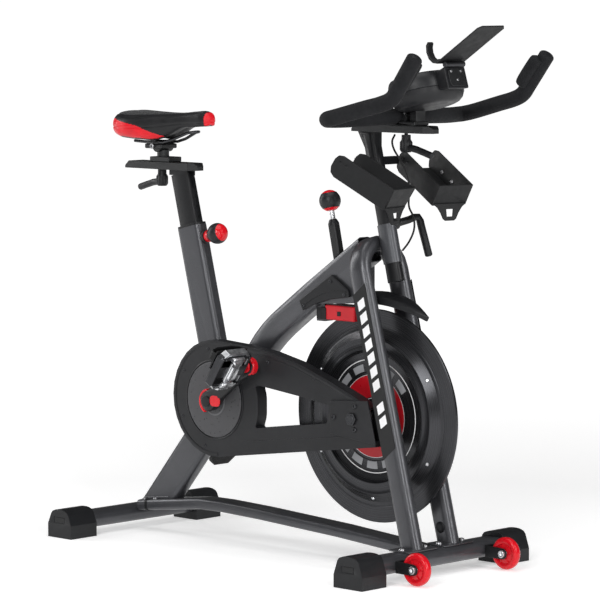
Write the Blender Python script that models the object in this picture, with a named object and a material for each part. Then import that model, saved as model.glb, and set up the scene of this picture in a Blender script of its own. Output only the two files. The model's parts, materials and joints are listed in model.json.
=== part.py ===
"""Indoor spin bike: frame, fork and stabilisers, flywheel with belt drive, saddle and handlebar posts.

Metres, +Z up, +X forward (the way the rider faces), +Y to the rider's left.
The origin is on the floor under the middle of the bounding box.
"""

import math

import bmesh
import bpy
from mathutils import Matrix, Vector

# ---------------------------------------------------------------- driving dimensions
GAP = 0.0003                      # clearance between pieces that touch
SIDES = {"right": -1, "left": 1}  # sign of Y on each side of the bike

FRONT_X, FRONT_HALF = 0.4030, 0.270      # front stabiliser: centre line and half width
REAR_X, REAR_HALF = -0.5255, 0.240       # rear stabiliser
BASE_TOP = 0.058                         # top of the front stabiliser

LEAN = math.radians(14.3)                # both posts lean back by this angle
POST_SLOPE = math.tan(LEAN)
SEAT_TOP = (-0.3352, 0.710)              # mouth of the seat tube, x and z
BAR_TOP = (0.2695, 0.7224)               # a point on the handlebar post's axis
BAR_SLOPE = 0.237

FORK_FOOT = (0.3945, BASE_TOP + GAP)     # lower end of each fork leg, x and z
FORK_SLOPE = math.tan(math.radians(14.5))
FORK_HALF = 0.0585                       # fork leg centre line from the middle plane
FORK_ARCH_Z = 0.6435                     # where the legs start to bend into the crown
LEG_DEPTH, LEG_WIDTH = 0.0510, 0.0335

BB = (-0.1845, 0.331)                    # bottom bracket axis, x and z
CRANK_LENGTH = 0.165
CRANK_ANGLE = math.radians(33.2)         # right arm above the horizontal, pointing forward
PEDAL_Y = {"right": 0.172, "left": 0.150}   # middle of each pedal from the middle plane
DRIVE_R, DRIVEN_R = 0.0900, 0.0240       # belt pulleys
BELT_Y = (-0.0690, -0.0540)              # the belt runs between these two planes

AXLE = (0.2365, 0.3267)                  # flywheel axis, x and z
FLY_R = 0.2331
RIM_HALF, BULGE_HALF, BULGE_R = 0.0035, 0.018, 0.189

GUARD_FACE, GUARD_BACK = -0.076, -0.0485
GUARD_C, GUARD_R = (-0.188, 0.335), 0.1316

WHEEL_HUB, WHEEL_R = (0.4850, 0.1440, 0.0362), 0.0352
SEAT_RAIL_Z = (0.838, 0.855)
BAR_RAIL_Z = (0.944, 0.960)

COLOURS = {                              # colour, roughness, metallic
    "frame_paint": ((0.045, 0.047, 0.052), 0.42, 0.55),
    "head_paint": ((0.060, 0.062, 0.070), 0.45, 0.50),
    "plastic": ((0.022, 0.023, 0.025), 0.55, 0.0),
    "guard_plastic": ((0.034, 0.035, 0.038), 0.50, 0.0),
    "disc_plastic": ((0.060, 0.062, 0.065), 0.55, 0.0),
    "black_steel": ((0.015, 0.015, 0.016), 0.45, 0.6),
    "red": ((0.70, 0.010, 0.025), 0.35, 0.0),
    "silver": ((0.70, 0.71, 0.73), 0.28, 1.0),
    "fly_black": ((0.020, 0.021, 0.024), 0.35, 0.7),
    "grip_foam": ((0.028, 0.029, 0.031), 0.80, 0.0),
    "saddle_cover": ((0.015, 0.015, 0.016), 0.60, 0.0),
    "rubber": ((0.012, 0.012, 0.012), 0.75, 0.0),
}


# ---------------------------------------------------------------- building blocks
def material(name):
    """The named material, made once."""
    found = bpy.data.materials.get(name)
    if found:
        return found
    colour, roughness, metallic = COLOURS[name]
    made = bpy.data.materials.new(name)
    made.use_nodes = True
    shader = made.node_tree.nodes["Principled BSDF"]
    shader.inputs["Base Color"].default_value = (*colour, 1.0)
    shader.inputs["Roughness"].default_value = roughness
    shader.inputs["Metallic"].default_value = metallic
    return made


def finish_mesh(name, bm, colour, smooth=35.0):
    """Turns a bmesh into an object with outward faces and smooth round parts."""
    bmesh.ops.recalc_face_normals(bm, faces=bm.faces)
    mesh = bpy.data.meshes.new(name)
    bm.to_mesh(mesh)
    bm.free()
    mesh.materials.append(material(colour))
    mesh.shade_smooth()
    mesh.set_sharp_from_angle(angle=math.radians(smooth))
    obj = bpy.data.objects.new(name, mesh)
    bpy.context.scene.collection.objects.link(obj)
    return obj


def boolean(target, tool, operation):
    """Applies one exact Boolean and removes the tool."""
    modifier = target.modifiers.new("shape", "BOOLEAN")
    modifier.solver = "EXACT"
    modifier.operation = operation
    modifier.object = tool
    bpy.context.view_layer.update()
    depsgraph = bpy.context.evaluated_depsgraph_get()
    mesh = bpy.data.meshes.new_from_object(target.evaluated_get(depsgraph))
    target.modifiers.clear()
    target.data = mesh
    bpy.data.objects.remove(tool)
    return target


def cut(target, *tools):
    for tool in tools:
        boolean(target, tool, "DIFFERENCE")
    return target


def join(target, *tools):
    for tool in tools:
        boolean(target, tool, "UNION")
    return target


def rounded(depth, width, radius=None, steps=5):
    """Outline of a rounded rectangle; with no radius its ends are half circles."""
    r = min(depth, width) / 2 if radius is None else radius
    points = []
    for corner in range(4):
        cx = (depth / 2 - r) * (1, -1, -1, 1)[corner]
        cy = (width / 2 - r) * (1, 1, -1, -1)[corner]
        for i in range(steps + 1):
            a = math.pi / 2 * (corner + i / steps)
            point = (cx + r * math.cos(a), cy + r * math.sin(a))
            if not points or math.dist(point, points[-1]) > 1e-6:
                points.append(point)
    if math.dist(points[0], points[-1]) < 1e-6:
        points.pop()
    return points


def circle(radius, count):
    return [(radius * math.cos(2 * math.pi * i / count), radius * math.sin(2 * math.pi * i / count))
            for i in range(count)]


def skin(bm, rings, closed=False):
    """Joins rings of equal length with quads, and returns the rings' vertices."""
    made = [[bm.verts.new(p) for p in ring] for ring in rings]
    count = len(made[0])
    spans = len(made) if closed else len(made) - 1
    for i in range(spans):
        a, b = made[i], made[(i + 1) % len(made)]
        for j in range(count):
            k = (j + 1) % count
            bm.faces.new((a[j], a[k], b[k], b[j]))
    return made


def frames(path, fixed):
    """At each point of a flat path: the direction square to the path and to the fixed direction."""
    result = []
    for i, point in enumerate(path):
        before = path[max(i - 1, 0)]
        after = path[min(i + 1, len(path) - 1)]
        tangent = (after - before).normalized()
        result.append((point, tangent.cross(fixed).normalized()))
    return result


def sweep(name, path, section, colour, fixed=(0, 1, 0), inner=None, widths=None):
    """Sweeps an outline along a flat path; inner is the outline of the bore of an open-ended tube."""
    fixed = Vector(fixed).normalized()
    path = [Vector(p) for p in path]
    placed = frames(path, fixed)
    widths = widths or [1.0] * len(path)
    bm = bmesh.new()

    def ring(outline, i):
        point, across = placed[i]
        return [point + across * a + fixed * (b * widths[i]) for a, b in outline]

    outer = skin(bm, [ring(section, i) for i in range(len(path))])
    if inner is None:
        bm.faces.new(outer[0])
        bm.faces.new(outer[-1])
    else:
        bore = skin(bm, [ring(inner, i) for i in range(len(path))])
        for a, b in ((outer[0], bore[0]), (outer[-1], bore[-1])):
            for j in range(len(a)):
                k = (j + 1) % len(a)
                bm.faces.new((a[j], a[k], b[k], b[j]))
    return finish_mesh(name, bm, colour)


def lathe(name, profile, centre, axis, colour, steps=32):
    """Turns (radius, height) points, listed once round a closed outline, about an axis."""
    turn = Vector(axis).to_track_quat("Z", "Y").to_matrix().to_4x4()
    place = Matrix.Translation(centre) @ turn
    bm = bmesh.new()
    rings = []
    for radius, height in profile:
        if radius < 1e-6:
            rings.append([bm.verts.new(place @ Vector((0, 0, height)))])
        else:
            rings.append([bm.verts.new(place @ Vector((x, y, height))) for x, y in circle(radius, steps)])
    for a, b in zip(rings, rings[1:] + rings[:1]):
        if len(a) == 1 and len(b) == 1:
            continue
        for j in range(steps):
            k = (j + 1) % steps
            corners = [a[j % len(a)], a[k % len(a)], b[k % len(b)], b[j % len(b)]]
            bm.faces.new(list(dict.fromkeys(corners)))
    return finish_mesh(name, bm, colour)


def rod(name, start, end, radius, colour, steps=24, bore=0.0):
    """A straight round bar, or a tube when it has a bore."""
    start, end = Vector(start), Vector(end)
    length = (end - start).length
    return lathe(name, [(bore, 0), (radius, 0), (radius, length), (bore, length)],
                 start, end - start, colour, steps)


def prism(name, outline, low, high, colour, plane="XZ", holes=()):
    """Extrudes an outline with holes, drawn in the XZ or XY plane, between two levels of the third axis."""
    bm = bmesh.new()

    def place(a, b, c):
        return (a, c, b) if plane == "XZ" else (a, b, c)

    edges = []
    loops = []
    for loop in (outline, *holes):
        verts = [bm.verts.new(place(a, b, low)) for a, b in loop]
        loops.append(verts)
        edges += [bm.edges.new((verts[i], verts[(i + 1) % len(verts)])) for i in range(len(verts))]
    base = bmesh.ops.triangle_fill(bm, use_beauty=True, use_dissolve=False, edges=edges)["geom"]
    faces = [f for f in base if isinstance(f, bmesh.types.BMFace)]
    moved = bmesh.ops.extrude_face_region(bm, geom=faces, use_keep_orig=True)["geom"]
    shift = Vector(place(0, 0, high - low))
    bmesh.ops.translate(bm, vec=shift, verts=[v for v in moved if isinstance(v, bmesh.types.BMVert)])
    return finish_mesh(name, bm, colour)


def block(name, low, high, colour, edge=0.0, steps=2):
    """A box between two corners, with its edges rounded."""
    bm = bmesh.new()
    bmesh.ops.create_cube(bm, size=1.0)
    size = Vector(high) - Vector(low)
    middle = (Vector(high) + Vector(low)) / 2
    bmesh.ops.scale(bm, vec=size, verts=bm.verts)
    bmesh.ops.translate(bm, vec=middle, verts=bm.verts)
    if edge:
        bmesh.ops.bevel(bm, geom=bm.edges[:], offset=edge, segments=steps, affect="EDGES", profile=0.5)
    return finish_mesh(name, bm, colour)


def smooth_points(points, per_span):
    """Points on a Catmull-Rom curve through the given points."""
    points = [Vector(p) for p in points]
    padded = [2 * points[0] - points[1], *points, 2 * points[-1] - points[-2]]
    result = []
    for i in range(len(points) - 1):
        p0, p1, p2, p3 = padded[i:i + 4]
        for step in range(per_span):
            t = step / per_span
            result.append(0.5 * ((2 * p1) + (p2 - p0) * t + (2 * p0 - 5 * p1 + 4 * p2 - p3) * t ** 2
                                 + (3 * p1 - p0 - 3 * p2 + p3) * t ** 3))
    result.append(points[-1])
    return result


def tube(name, points, radius, colour, steps=12, round_ends=False):
    """A round bar along a path in space, its sections turned as little as possible."""
    points = [Vector(p) for p in points]
    radii = [radius] * len(points)
    if round_ends:
        for end, inside in ((0, 1), (-1, -2)):
            out = (points[end] - points[inside]).normalized()
            tips = [(0.25, 0.90), (0.40, 0.60)]
            extra = [(points[end] + out * radius * a, radius * b) for a, b in tips]
            if end == 0:
                points = [p for p, _ in reversed(extra)] + points
                radii = [r for _, r in reversed(extra)] + radii
            else:
                points += [p for p, _ in extra]
                radii += [r for _, r in extra]
    bm = bmesh.new()
    across = (points[1] - points[0]).orthogonal().normalized()
    rings = []
    for i, point in enumerate(points):
        tangent = (points[min(i + 1, len(points) - 1)] - points[max(i - 1, 0)]).normalized()
        across = (across - tangent * across.dot(tangent)).normalized()
        third = tangent.cross(across)
        rings.append([point + across * x + third * y for x, y in circle(radii[i], steps)])
    made = skin(bm, rings)
    bm.faces.new(made[0])
    bm.faces.new(made[-1])
    return finish_mesh(name, bm, colour)


def carry(empty_name, point, *objects):
    """An empty on a moving body's joint axis carries the body's pieces."""
    empty = bpy.data.objects.new(empty_name, None)
    empty.location = point
    bpy.context.scene.collection.objects.link(empty)
    bpy.context.view_layer.update()
    for obj in objects:
        obj.parent = empty
        obj.matrix_parent_inverse = empty.matrix_world.inverted()


def post_point(top, z):
    """The point at height z on a post's leaning axis."""
    return Vector((top[0] + (top[1] - z) * POST_SLOPE, 0, z))


def bar_point(z):
    """The point at height z on the handlebar post's axis."""
    return Vector((BAR_TOP[0] + (BAR_TOP[1] - z) * BAR_SLOPE, 0, z))


def fork_x(z):
    """Centre line of the fork legs at height z."""
    return FORK_FOOT[0] - (z - BASE_TOP) * FORK_SLOPE


# ---------------------------------------------------------------- base
def base_tubes():
    for end, x, half, depth, low, high in (("front", FRONT_X, FRONT_HALF, 0.066, 0.0205, BASE_TOP),
                                           ("rear", REAR_X, REAR_HALF, 0.060, 0.0165, 0.054)):
        outer = rounded(depth, high - low, 0.0165, 3)
        inner = rounded(depth - 0.006, high - low - 0.006, 0.0135, 3)
        z = (low + high) / 2
        reach = half - 0.006
        sweep(f"{end}_stabiliser", [(x, -reach, z), (x, reach, z)], outer, "frame_paint",
              fixed=(0, 0, 1), inner=inner)


def foot_cap(name, x, half, length, depth, shoulder, top, side):
    """A plastic cap that slips over a stabiliser's end: flat below, domed above."""
    half_top = depth / 2 - 0.0120
    profile = [(depth / 2, 0.0), (depth / 2, shoulder), (half_top + 0.001, top - 0.010), (half_top - 0.004, top - 0.0045),
               (half_top - 0.014, top - 0.001), (half_top - 0.024, top)]
    outline = [(x + a, z) for a, z in profile] + [(x - a, z) for a, z in reversed(profile)]
    outer_end = side * half
    inner_end = side * (half - length)
    return prism(name, outline, min(outer_end, inner_end), max(outer_end, inner_end), "plastic")


def foot_caps():
    for side, sign in SIDES.items():
        for end, x, half, length, depth, tube_depth, low, high, shoulder, top in (
                ("front", FRONT_X, FRONT_HALF, 0.076, 0.082, 0.066, 0.0205, BASE_TOP, 0.028, 0.0690),
                ("rear", REAR_X, REAR_HALF, 0.080, 0.078, 0.060, 0.0165, 0.054, 0.031, 0.0655)):
            cap = foot_cap(f"{end}_foot_{side}", x, half, length, depth, shoulder, top, sign)
            z = (low + high) / 2
            socket = rounded(tube_depth + 2 * GAP, high - low + 2 * GAP, 0.0165, 3)
            start, stop = sign * (half - length - 0.01), sign * (half - 0.006 + GAP)
            cut(cap, sweep("socket", [(x, start, z), (x, stop, z)], socket, "plastic", fixed=(0, 0, 1)),
                block("badge", (x - 0.0175, sign * half - 0.0012, 0.034), (x + 0.0175, sign * half + 0.0012, 0.048),
                      "plastic"))


def base_tube():
    """The long flat tube on the floor line, bent near its rear end."""
    path = [(-0.4915, 0, 0.0560), (-0.290, 0, 0.0800), (-0.220, 0, 0.0805), (-0.10, 0, 0.0765),
            (0.140, 0, 0.0640), (0.3675, 0, 0.0470)]
    outer, inner = rounded(0.025, 0.056, 0.007, 3), rounded(0.020, 0.051, 0.005, 3)
    return sweep("base_tube", path, outer, "frame_paint", inner=inner)


def wheel_parts():
    x, y, z = WHEEL_HUB
    for side, sign in SIDES.items():
        name = f"transport_wheel_{side}"
        profile = [(0.0053, -0.0085), (0.023, -0.0065), (0.0255, -0.0095), (0.0310, -0.0085), (WHEEL_R, -0.003)]
        profile += [(r, -h) for r, h in reversed(profile)]
        wheel = lathe(name, profile, (x, sign * y, z), (0, 1, 0), "red", 22)
        carry(f"{name}_axis", (x, sign * y, z), wheel)
        outline = [(FRONT_X + 0.0333, z - 0.012), (x, z - 0.012)]
        outline += [(x + 0.012 * math.cos(a), z + 0.012 * math.sin(a))
                    for a in (math.pi * (i / 6 - 0.5) for i in range(1, 6))]
        outline += [(x, z + 0.012), (FRONT_X + 0.0333, z + 0.014)]
        bracket = prism(f"wheel_bracket_{side}", outline, sign * y - 0.0140, sign * y + 0.0140, "black_steel")
        cut(bracket, block("gap", (FRONT_X + 0.0365, sign * y - 0.0108, 0), (x + 0.03, sign * y + 0.0108, 0.1), "red"))
        join(bracket, rod("pin", (x, sign * y - 0.0120, z), (x, sign * y + 0.0120, z), 0.0049, "red", 14))


# ---------------------------------------------------------------- frame
def seat_tube_solid(name, colour, grow=0.0, inner=None):
    """The seat tube, or with grow the space that it needs."""
    path = [post_point(SEAT_TOP, 0.225), post_point(SEAT_TOP, SEAT_TOP[1])]
    return sweep(name, path, rounded(0.070 + 2 * grow, 0.036 + 2 * grow, 0.011, 4), colour, inner=inner)


def shell_space(grow):
    return rod("space", (BB[0], -0.1, BB[1]), (BB[0], 0.1, BB[1]), 0.032 + grow, "red", 32)


def fork_path(half=FORK_HALF):
    """Centre line of the hoop: up one leg, over the crown and down the other."""
    along = Vector((-FORK_SLOPE, 0, 1)).normalized()
    centre = Vector((fork_x(FORK_ARCH_Z), 0, FORK_ARCH_Z))
    arc = [centre + Vector((0, -half * math.cos(a), 0)) + along * (half * math.sin(a))
           for a in (math.pi * i / 10 for i in range(11))]
    low = BASE_TOP - 0.020
    return [Vector((fork_x(low), -half, low)), *arc, Vector((fork_x(low), half, low))]


def fork_solid(name, grow, inner=None):
    normal = (1, 0, FORK_SLOPE)
    section = rounded(LEG_WIDTH + 2 * grow, LEG_DEPTH + 2 * grow, 0.0150, 3)
    return sweep(name, fork_path(), section, "frame_paint", fixed=normal, inner=inner)


def head_solid(name, colour, low, high, depth, width, inner=None):
    path = [bar_point(low), bar_point(high)]
    return sweep(name, path, rounded(depth, width, None, 4), colour, inner=inner)


def frame_tubes():
    seat = seat_tube_solid("seat_tube", "frame_paint", inner=rounded(0.0640, 0.0300, 0.008, 4))
    cut(seat, shell_space(GAP))
    forward = Vector((math.cos(LEAN), 0, math.sin(LEAN)))
    hole_start = post_point(SEAT_TOP, 0.6795)
    cut(seat, rod("pin_hole", hole_start + forward * 0.02, hole_start + forward * 0.06, 0.0055, "red", 16))

    strut = sweep("rear_strut", [(-0.4600, 0, 0.0440), (-0.2360, 0, 0.3095)], rounded(0.078, 0.038, 0.011, 3),
                  "frame_paint", inner=rounded(0.072, 0.032, 0.008, 3))
    cut(strut, seat_tube_solid("space", "red", GAP), strut_foot_space())

    curve = smooth_points([(BB[0], 0, BB[1]), (-0.0946, 0, 0.4617), (0.0155, 0, 0.5510), (0.2150, 0, 0.6880)], 4)
    widths = [min(1.0, 0.78 + 0.04 * i) for i in range(len(curve))]
    main = sweep("main_tube", curve, rounded(0.063, 0.050, 0.012, 2), "frame_paint",
                 inner=rounded(0.057, 0.044, 0.009, 2), widths=widths)
    gusset = [(0.0337, 0.5474), (0.0844, 0.5630), (0.1740, 0.5690), (0.2080, 0.5720), (0.2080, 0.6500),
              (0.1600, 0.6300), (0.0350, 0.5560)]
    join(main, prism("gusset", gusset, -0.0240, 0.0240, "frame_paint"),
         block("brake_mount", (0.0700, -0.014, 0.5240), (0.0945, 0.014, 0.5640), "frame_paint"))
    cut(main, shell_space(GAP), seat_tube_solid("space", "red", GAP), fork_solid("space", GAP),
        head_solid("space", "red", 0.60, 0.80, 0.0446, 0.0346), sleeve_space())

    rod("bottom_bracket_shell", (BB[0], -0.031, BB[1]), (BB[0], 0.0350, BB[1]), 0.032, "frame_paint", 28, 0.0104)

    hoop = fork_solid("fork_hoop", 0.0, rounded(LEG_WIDTH - 0.006, LEG_DEPTH - 0.006, 0.0120, 3))
    cut(hoop, head_solid("space", "red", 0.60, 0.80, 0.0446, 0.0346),
        block("below", (0.30, -0.15, 0.0), (0.50, 0.15, FORK_FOOT[1]), "red"))
    head_solid("head_tube", "head_paint", 0.662, 0.745, 0.0440, 0.0340, rounded(0.0406, 0.0296, None, 4))


def strut_foot_space():
    """Everything at and below the base tube's top, where the rear strut stands."""
    outline = [(-0.60, 0.0), (-0.20, 0.0), (-0.20, 0.0935), (-0.290, 0.0928), (-0.4915, 0.0688), (-0.60, 0.0560)]
    return prism("space", outline, -0.06, 0.06, "red")


# ---------------------------------------------------------------- flywheel
def flywheel_parts():
    hub = 0.0304
    profile = [(0.0103, -0.030), (hub, -0.030), (hub, -0.010), (0.140, -0.0120), (0.146, -BULGE_HALF),
               (0.170, -BULGE_HALF), (BULGE_R, -RIM_HALF), (FLY_R, -RIM_HALF)]
    profile += [(r, -h) for r, h in reversed(profile)]
    wheel = lathe("flywheel", profile, (AXLE[0], 0, AXLE[1]), (0, 1, 0), "fly_black", 44)
    pulley = lathe("flywheel_pulley",
                   [(0.0103, BELT_Y[0] - 0.001), (DRIVEN_R + 0.003, BELT_Y[0] - 0.001),
                    (DRIVEN_R + 0.003, BELT_Y[0] - GAP), (DRIVEN_R - GAP, BELT_Y[0] - GAP),
                    (DRIVEN_R - GAP, BELT_Y[1] + GAP), (DRIVEN_R + 0.003, BELT_Y[1] + GAP),
                    (DRIVEN_R + 0.003, BELT_Y[1] + 0.002), (0.018, BELT_Y[1] + 0.002),
                    (0.018, -0.030 - GAP), (0.0103, -0.030 - GAP)],
                   (AXLE[0], 0, AXLE[1]), (0, 1, 0), "silver", 18)
    carry("flywheel_axis", (AXLE[0], 0, AXLE[1]), wheel, pulley)
    rod("flywheel_axle", (AXLE[0], -0.0860, AXLE[1]), (AXLE[0], 0.0760, AXLE[1]), 0.0100, "silver", 20)


def guard_top():
    """Points of the belt guard's upper edge, from the fork back towards the crank."""
    return [(0.3000, 0.3450), (0.2516, 0.3700), (0.164, 0.4034), (0.0715, 0.4344), (-0.011, 0.4519),
            (-0.1005, 0.4614)]


def guard_outline(inset=0.0):
    """Round about the crank, with two edges that run forward to the fork."""
    r = GUARD_R - inset
    arc = [(GUARD_C[0] + r * math.cos(a), GUARD_C[1] + r * math.sin(a))
           for a in (math.radians(84 + 191 * i / 16) for i in range(17))]
    top = [(x - inset, z - inset) for x, z in guard_top()]
    return [(0.3034 - inset, 0.271 + inset), *top, *arc]


def guard_opening(grow=0.0):
    corners = [(-0.0600 - grow, 0.3770 + grow), (-0.0515 - grow, 0.3500), (-0.0515 - grow, 0.3050),
               (-0.0600 - grow, 0.2790 - grow),
               (0.1605 + grow, 0.3100 - grow), (0.1665 + grow, 0.3500 + grow), (0.0795, 0.3620 + grow)]
    points = []
    for i, corner in enumerate(corners):
        before, after = corners[i - 1], corners[(i + 1) % len(corners)]
        here = Vector(corner)
        points.append(tuple(here + (Vector(before) - here).normalized() * 0.005))
        points.append(tuple(here + (Vector(after) - here).normalized() * 0.005))
    return points


def leg_line_cut(name, offset):
    """Removes what lies in front of a line that runs beside the fork legs."""
    outline = [(fork_x(0.2) - offset, 0.2), (0.60, 0.2), (0.60, 0.5), (fork_x(0.5) - offset, 0.5)]
    return prism(name, outline, -0.10, 0.10, "red")


def guard_parts():
    wall = 0.0028
    shell = prism("belt_guard_outer", guard_outline(), GUARD_FACE, GUARD_BACK, "guard_plastic",
                  holes=[guard_opening()])
    hollow = prism("space", guard_outline(wall), GUARD_FACE + wall, GUARD_BACK + 0.01, "red",
                   holes=[guard_opening(wall)])
    cut(shell, hollow, leg_line_cut("space", 0.036),
        rod("space", (BB[0], -0.09, BB[1]), (BB[0], -0.07, BB[1]), 0.0190, "red", 24),
        rod("space", (AXLE[0], -0.09, AXLE[1]), (AXLE[0], -0.07, AXLE[1]), 0.0110, "red", 16))
    back = prism("belt_guard_inner", guard_outline(), GUARD_BACK + GAP, GUARD_BACK + 0.0023, "guard_plastic",
                 holes=[guard_opening()])
    cut(back, leg_line_cut("space", 0.036),
        rod("space", (BB[0], -0.06, BB[1]), (BB[0], 0.0, BB[1]), 0.0330, "red", 24),
        rod("space", (AXLE[0], -0.06, AXLE[1]), (AXLE[0], 0.0, AXLE[1]), 0.0310, "red", 24))
    lathe("guard_disc", [(0.0190, 0), (0.085, 0), (0.085, 0.0022), (0.083, 0.0032), (0.0190, 0.0032)],
          (GUARD_C[0] + 0.002, GUARD_FACE - GAP, GUARD_C[1] - 0.002), (0, -1, 0), "disc_plastic", 36)


def axle_plates():
    for side, low, high, back in (("right", -0.0800, GUARD_FACE - GAP, 0.172), ("left", 0.0560, 0.0610, 0.198)):
        outline = [(back, 0.290), (0.31, 0.276), (0.31, 0.372), (back, 0.362)]
        plate = prism(f"axle_plate_{side}", outline, low, high, "guard_plastic" if side == "right" else "frame_paint")
        cut(plate, leg_line_cut("space", 0.0314),
            rod("space", (AXLE[0], -0.1, AXLE[1]), (AXLE[0], 0.1, AXLE[1]), 0.0103, "red", 20))


def belt_path(offset):
    """Outline of the open belt round both pulleys, a distance offset outside them."""
    big, small = Vector((BB[0], BB[1])), Vector((AXLE[0], AXLE[1]))
    span = small - big
    tilt = math.atan2(span.y, span.x)
    spread = math.acos((DRIVE_R - DRIVEN_R) / span.length)
    points = []
    for centre, radius, start, stop in ((big, DRIVE_R + offset, tilt + spread, tilt - spread + 2 * math.pi),
                                        (small, DRIVEN_R + offset, tilt - spread, tilt + spread)):
        for i in range(13):
            a = start + (stop - start) * i / 12
            points.append((centre.x + radius * math.cos(a), centre.y + radius * math.sin(a)))
    return points


def drive_parts():
    prism("drive_belt", belt_path(0.0042), BELT_Y[0], BELT_Y[1], "rubber", holes=[belt_path(0.0012)])
    axle = rod("crank_axle", (BB[0], -0.1000, BB[1]), (BB[0], 0.0580, BB[1]), 0.0100, "silver", 16)
    pulley = lathe("drive_pulley",
                   [(0.0103, -0.0700), (0.018, -0.0700), (0.018, -0.0640), (0.080, -0.0640),
                    (0.080, BELT_Y[0] - GAP), (DRIVE_R - GAP, BELT_Y[0] - GAP),
                    (DRIVE_R - GAP, BELT_Y[1] + GAP), (0.080, BELT_Y[1] + GAP), (0.080, -0.0590),
                    (0.018, -0.0590), (0.018, -0.0365), (0.0103, -0.0365)],
                   (BB[0], 0, BB[1]), (0, 1, 0), "black_steel", 24)
    carry("crank_axis", (BB[0], 0, BB[1]), axle, pulley, *[crank_arm(side) for side in SIDES])


LEFT_INWARD = 0.040                       # the left arm's boss sits closer in: it has no guard to clear


def pedal_point(side):
    reach = -SIDES[side] * CRANK_LENGTH
    return Vector((BB[0] + reach * math.cos(CRANK_ANGLE), 0, BB[1] + reach * math.sin(CRANK_ANGLE)))


def crank_arm(side):
    """A forged arm: boss on the axle, a flat arm that steps outwards, and the pedal's eye."""
    sign = SIDES[side]
    inward = LEFT_INWARD if side == "left" else 0.0
    start = Vector((BB[0], 0, BB[1]))
    end = pedal_point(side)
    along = (end - start).normalized()
    boss = 0.020 if side == "left" else 0.0225
    stations = [(-0.9 * boss, 0.0832, 0.1010, 0.5 * boss), (-0.6 * boss, 0.0832, 0.1040, 0.82 * boss),
                (0.0, 0.0832, 0.1055, boss), (0.020, 0.0832, 0.1055, 0.9 * boss), (0.045, 0.0880, 0.1070, 0.0165),
                (0.125, 0.0980, 0.1130, 0.0145), (0.152, 0.1000, 0.1150, 0.0175), (0.168, 0.1000, 0.1155, 0.0180),
                (0.180, 0.1010, 0.1150, 0.0100)]
    bm = bmesh.new()
    rings = []
    up = Vector((-along.z, 0, along.x))
    for distance, low, high, half in stations:
        shift = inward * (1 - 0.45 * min(1.0, max(0.0, distance - 0.02) / 0.13))
        middle = start + along * distance + Vector((0, sign * ((low + high) / 2 - shift), 0))
        rings.append([middle + up * b + Vector((0, a, 0))
                      for a, b in rounded(high - low, 2 * half, 0.0045, 2)])
    made = skin(bm, rings)
    bm.faces.new(made[0])
    bm.faces.new(made[-1])
    arm = finish_mesh(f"crank_arm_{side}", bm, "black_steel")
    eye = end + Vector((0, sign * 0.06, 0))
    reach = sign * (0.1003 - inward)
    cut(arm, rod("space", (BB[0], sign * 0.0365, BB[1]), (BB[0], reach, BB[1]), 0.0103, "red", 16),
        rod("space", eye, eye + Vector((0, sign * 0.06, 0)), 0.0066, "red", 16))
    return arm


def pedal_parts():
    for side, sign in SIDES.items():
        centre = pedal_point(side) + Vector((0, sign * PEDAL_Y[side], 0))
        body = pedal_body(side)
        cage = toe_cage(side)
        place = Matrix.Translation(centre) @ Matrix.Rotation(PEDAL_TILT[side], 4, "Y")
        for obj in (body, cage):
            obj.data.transform(place)
        spindle = rod("spindle", centre - Vector((0, sign * 0.0690, 0)), centre - Vector((0, sign * 0.030, 0)),
                      0.0063, "silver", 16)
        join(body, spindle)
        carry(f"pedal_{side}_axis", centre, body, cage)


PEDAL_TILT = {"right": math.radians(123.0), "left": math.radians(28.0)}   # how each pedal has come to rest
PEDAL_HALF = (0.0400, 0.0480)             # half size of the platform, fore-aft and across


def pedal_body(side):
    """Platform with two windows and a round spindle barrel."""
    hx, hy = PEDAL_HALF
    bm_plate = block(f"pedal_{side}", (-hx, -hy, -0.0110), (hx, hy, 0.0110), "silver", 0.005, 1)
    for low, high in ((-hx + 0.008, -0.014), (0.014, hx - 0.008)):
        cut(bm_plate, block("window", (low, -hy + 0.009, -0.03), (high, hy - 0.009, 0.03), "silver"))
    return bm_plate


TOE_DEPTH = {"right": 0.034, "left": 0.118}   # the straps are slack and hang lower on the left


def toe_cage(side):
    """Plastic cage for a shoe on the pedal's second face: a base plate and an arch over the toe."""
    hx, hy = PEDAL_HALF
    depth = TOE_DEPTH[side]
    arch_path = [(-hy + 0.005, 0.12), (-hy - 0.001, 0.45), (-hy + 0.006, 0.80), (-0.022, 1.0), (0.022, 1.0),
                 (hy - 0.006, 0.80), (hy + 0.001, 0.45), (hy - 0.005, 0.12)]
    points = [(-0.026, y, -0.0125 - (depth - 0.0125) * (a - 0.12) / 0.88) for y, a in arch_path]
    arch = sweep(f"toe_cage_{side}", points, rounded(0.003, 0.020, 0.0012, 1), "plastic", fixed=(1, 0, 0))
    join(arch, block("plate", (-hx - 0.002, -hy + 0.002, -0.0145), (0.004, hy - 0.002, -0.0113), "plastic"))
    return arch


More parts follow.
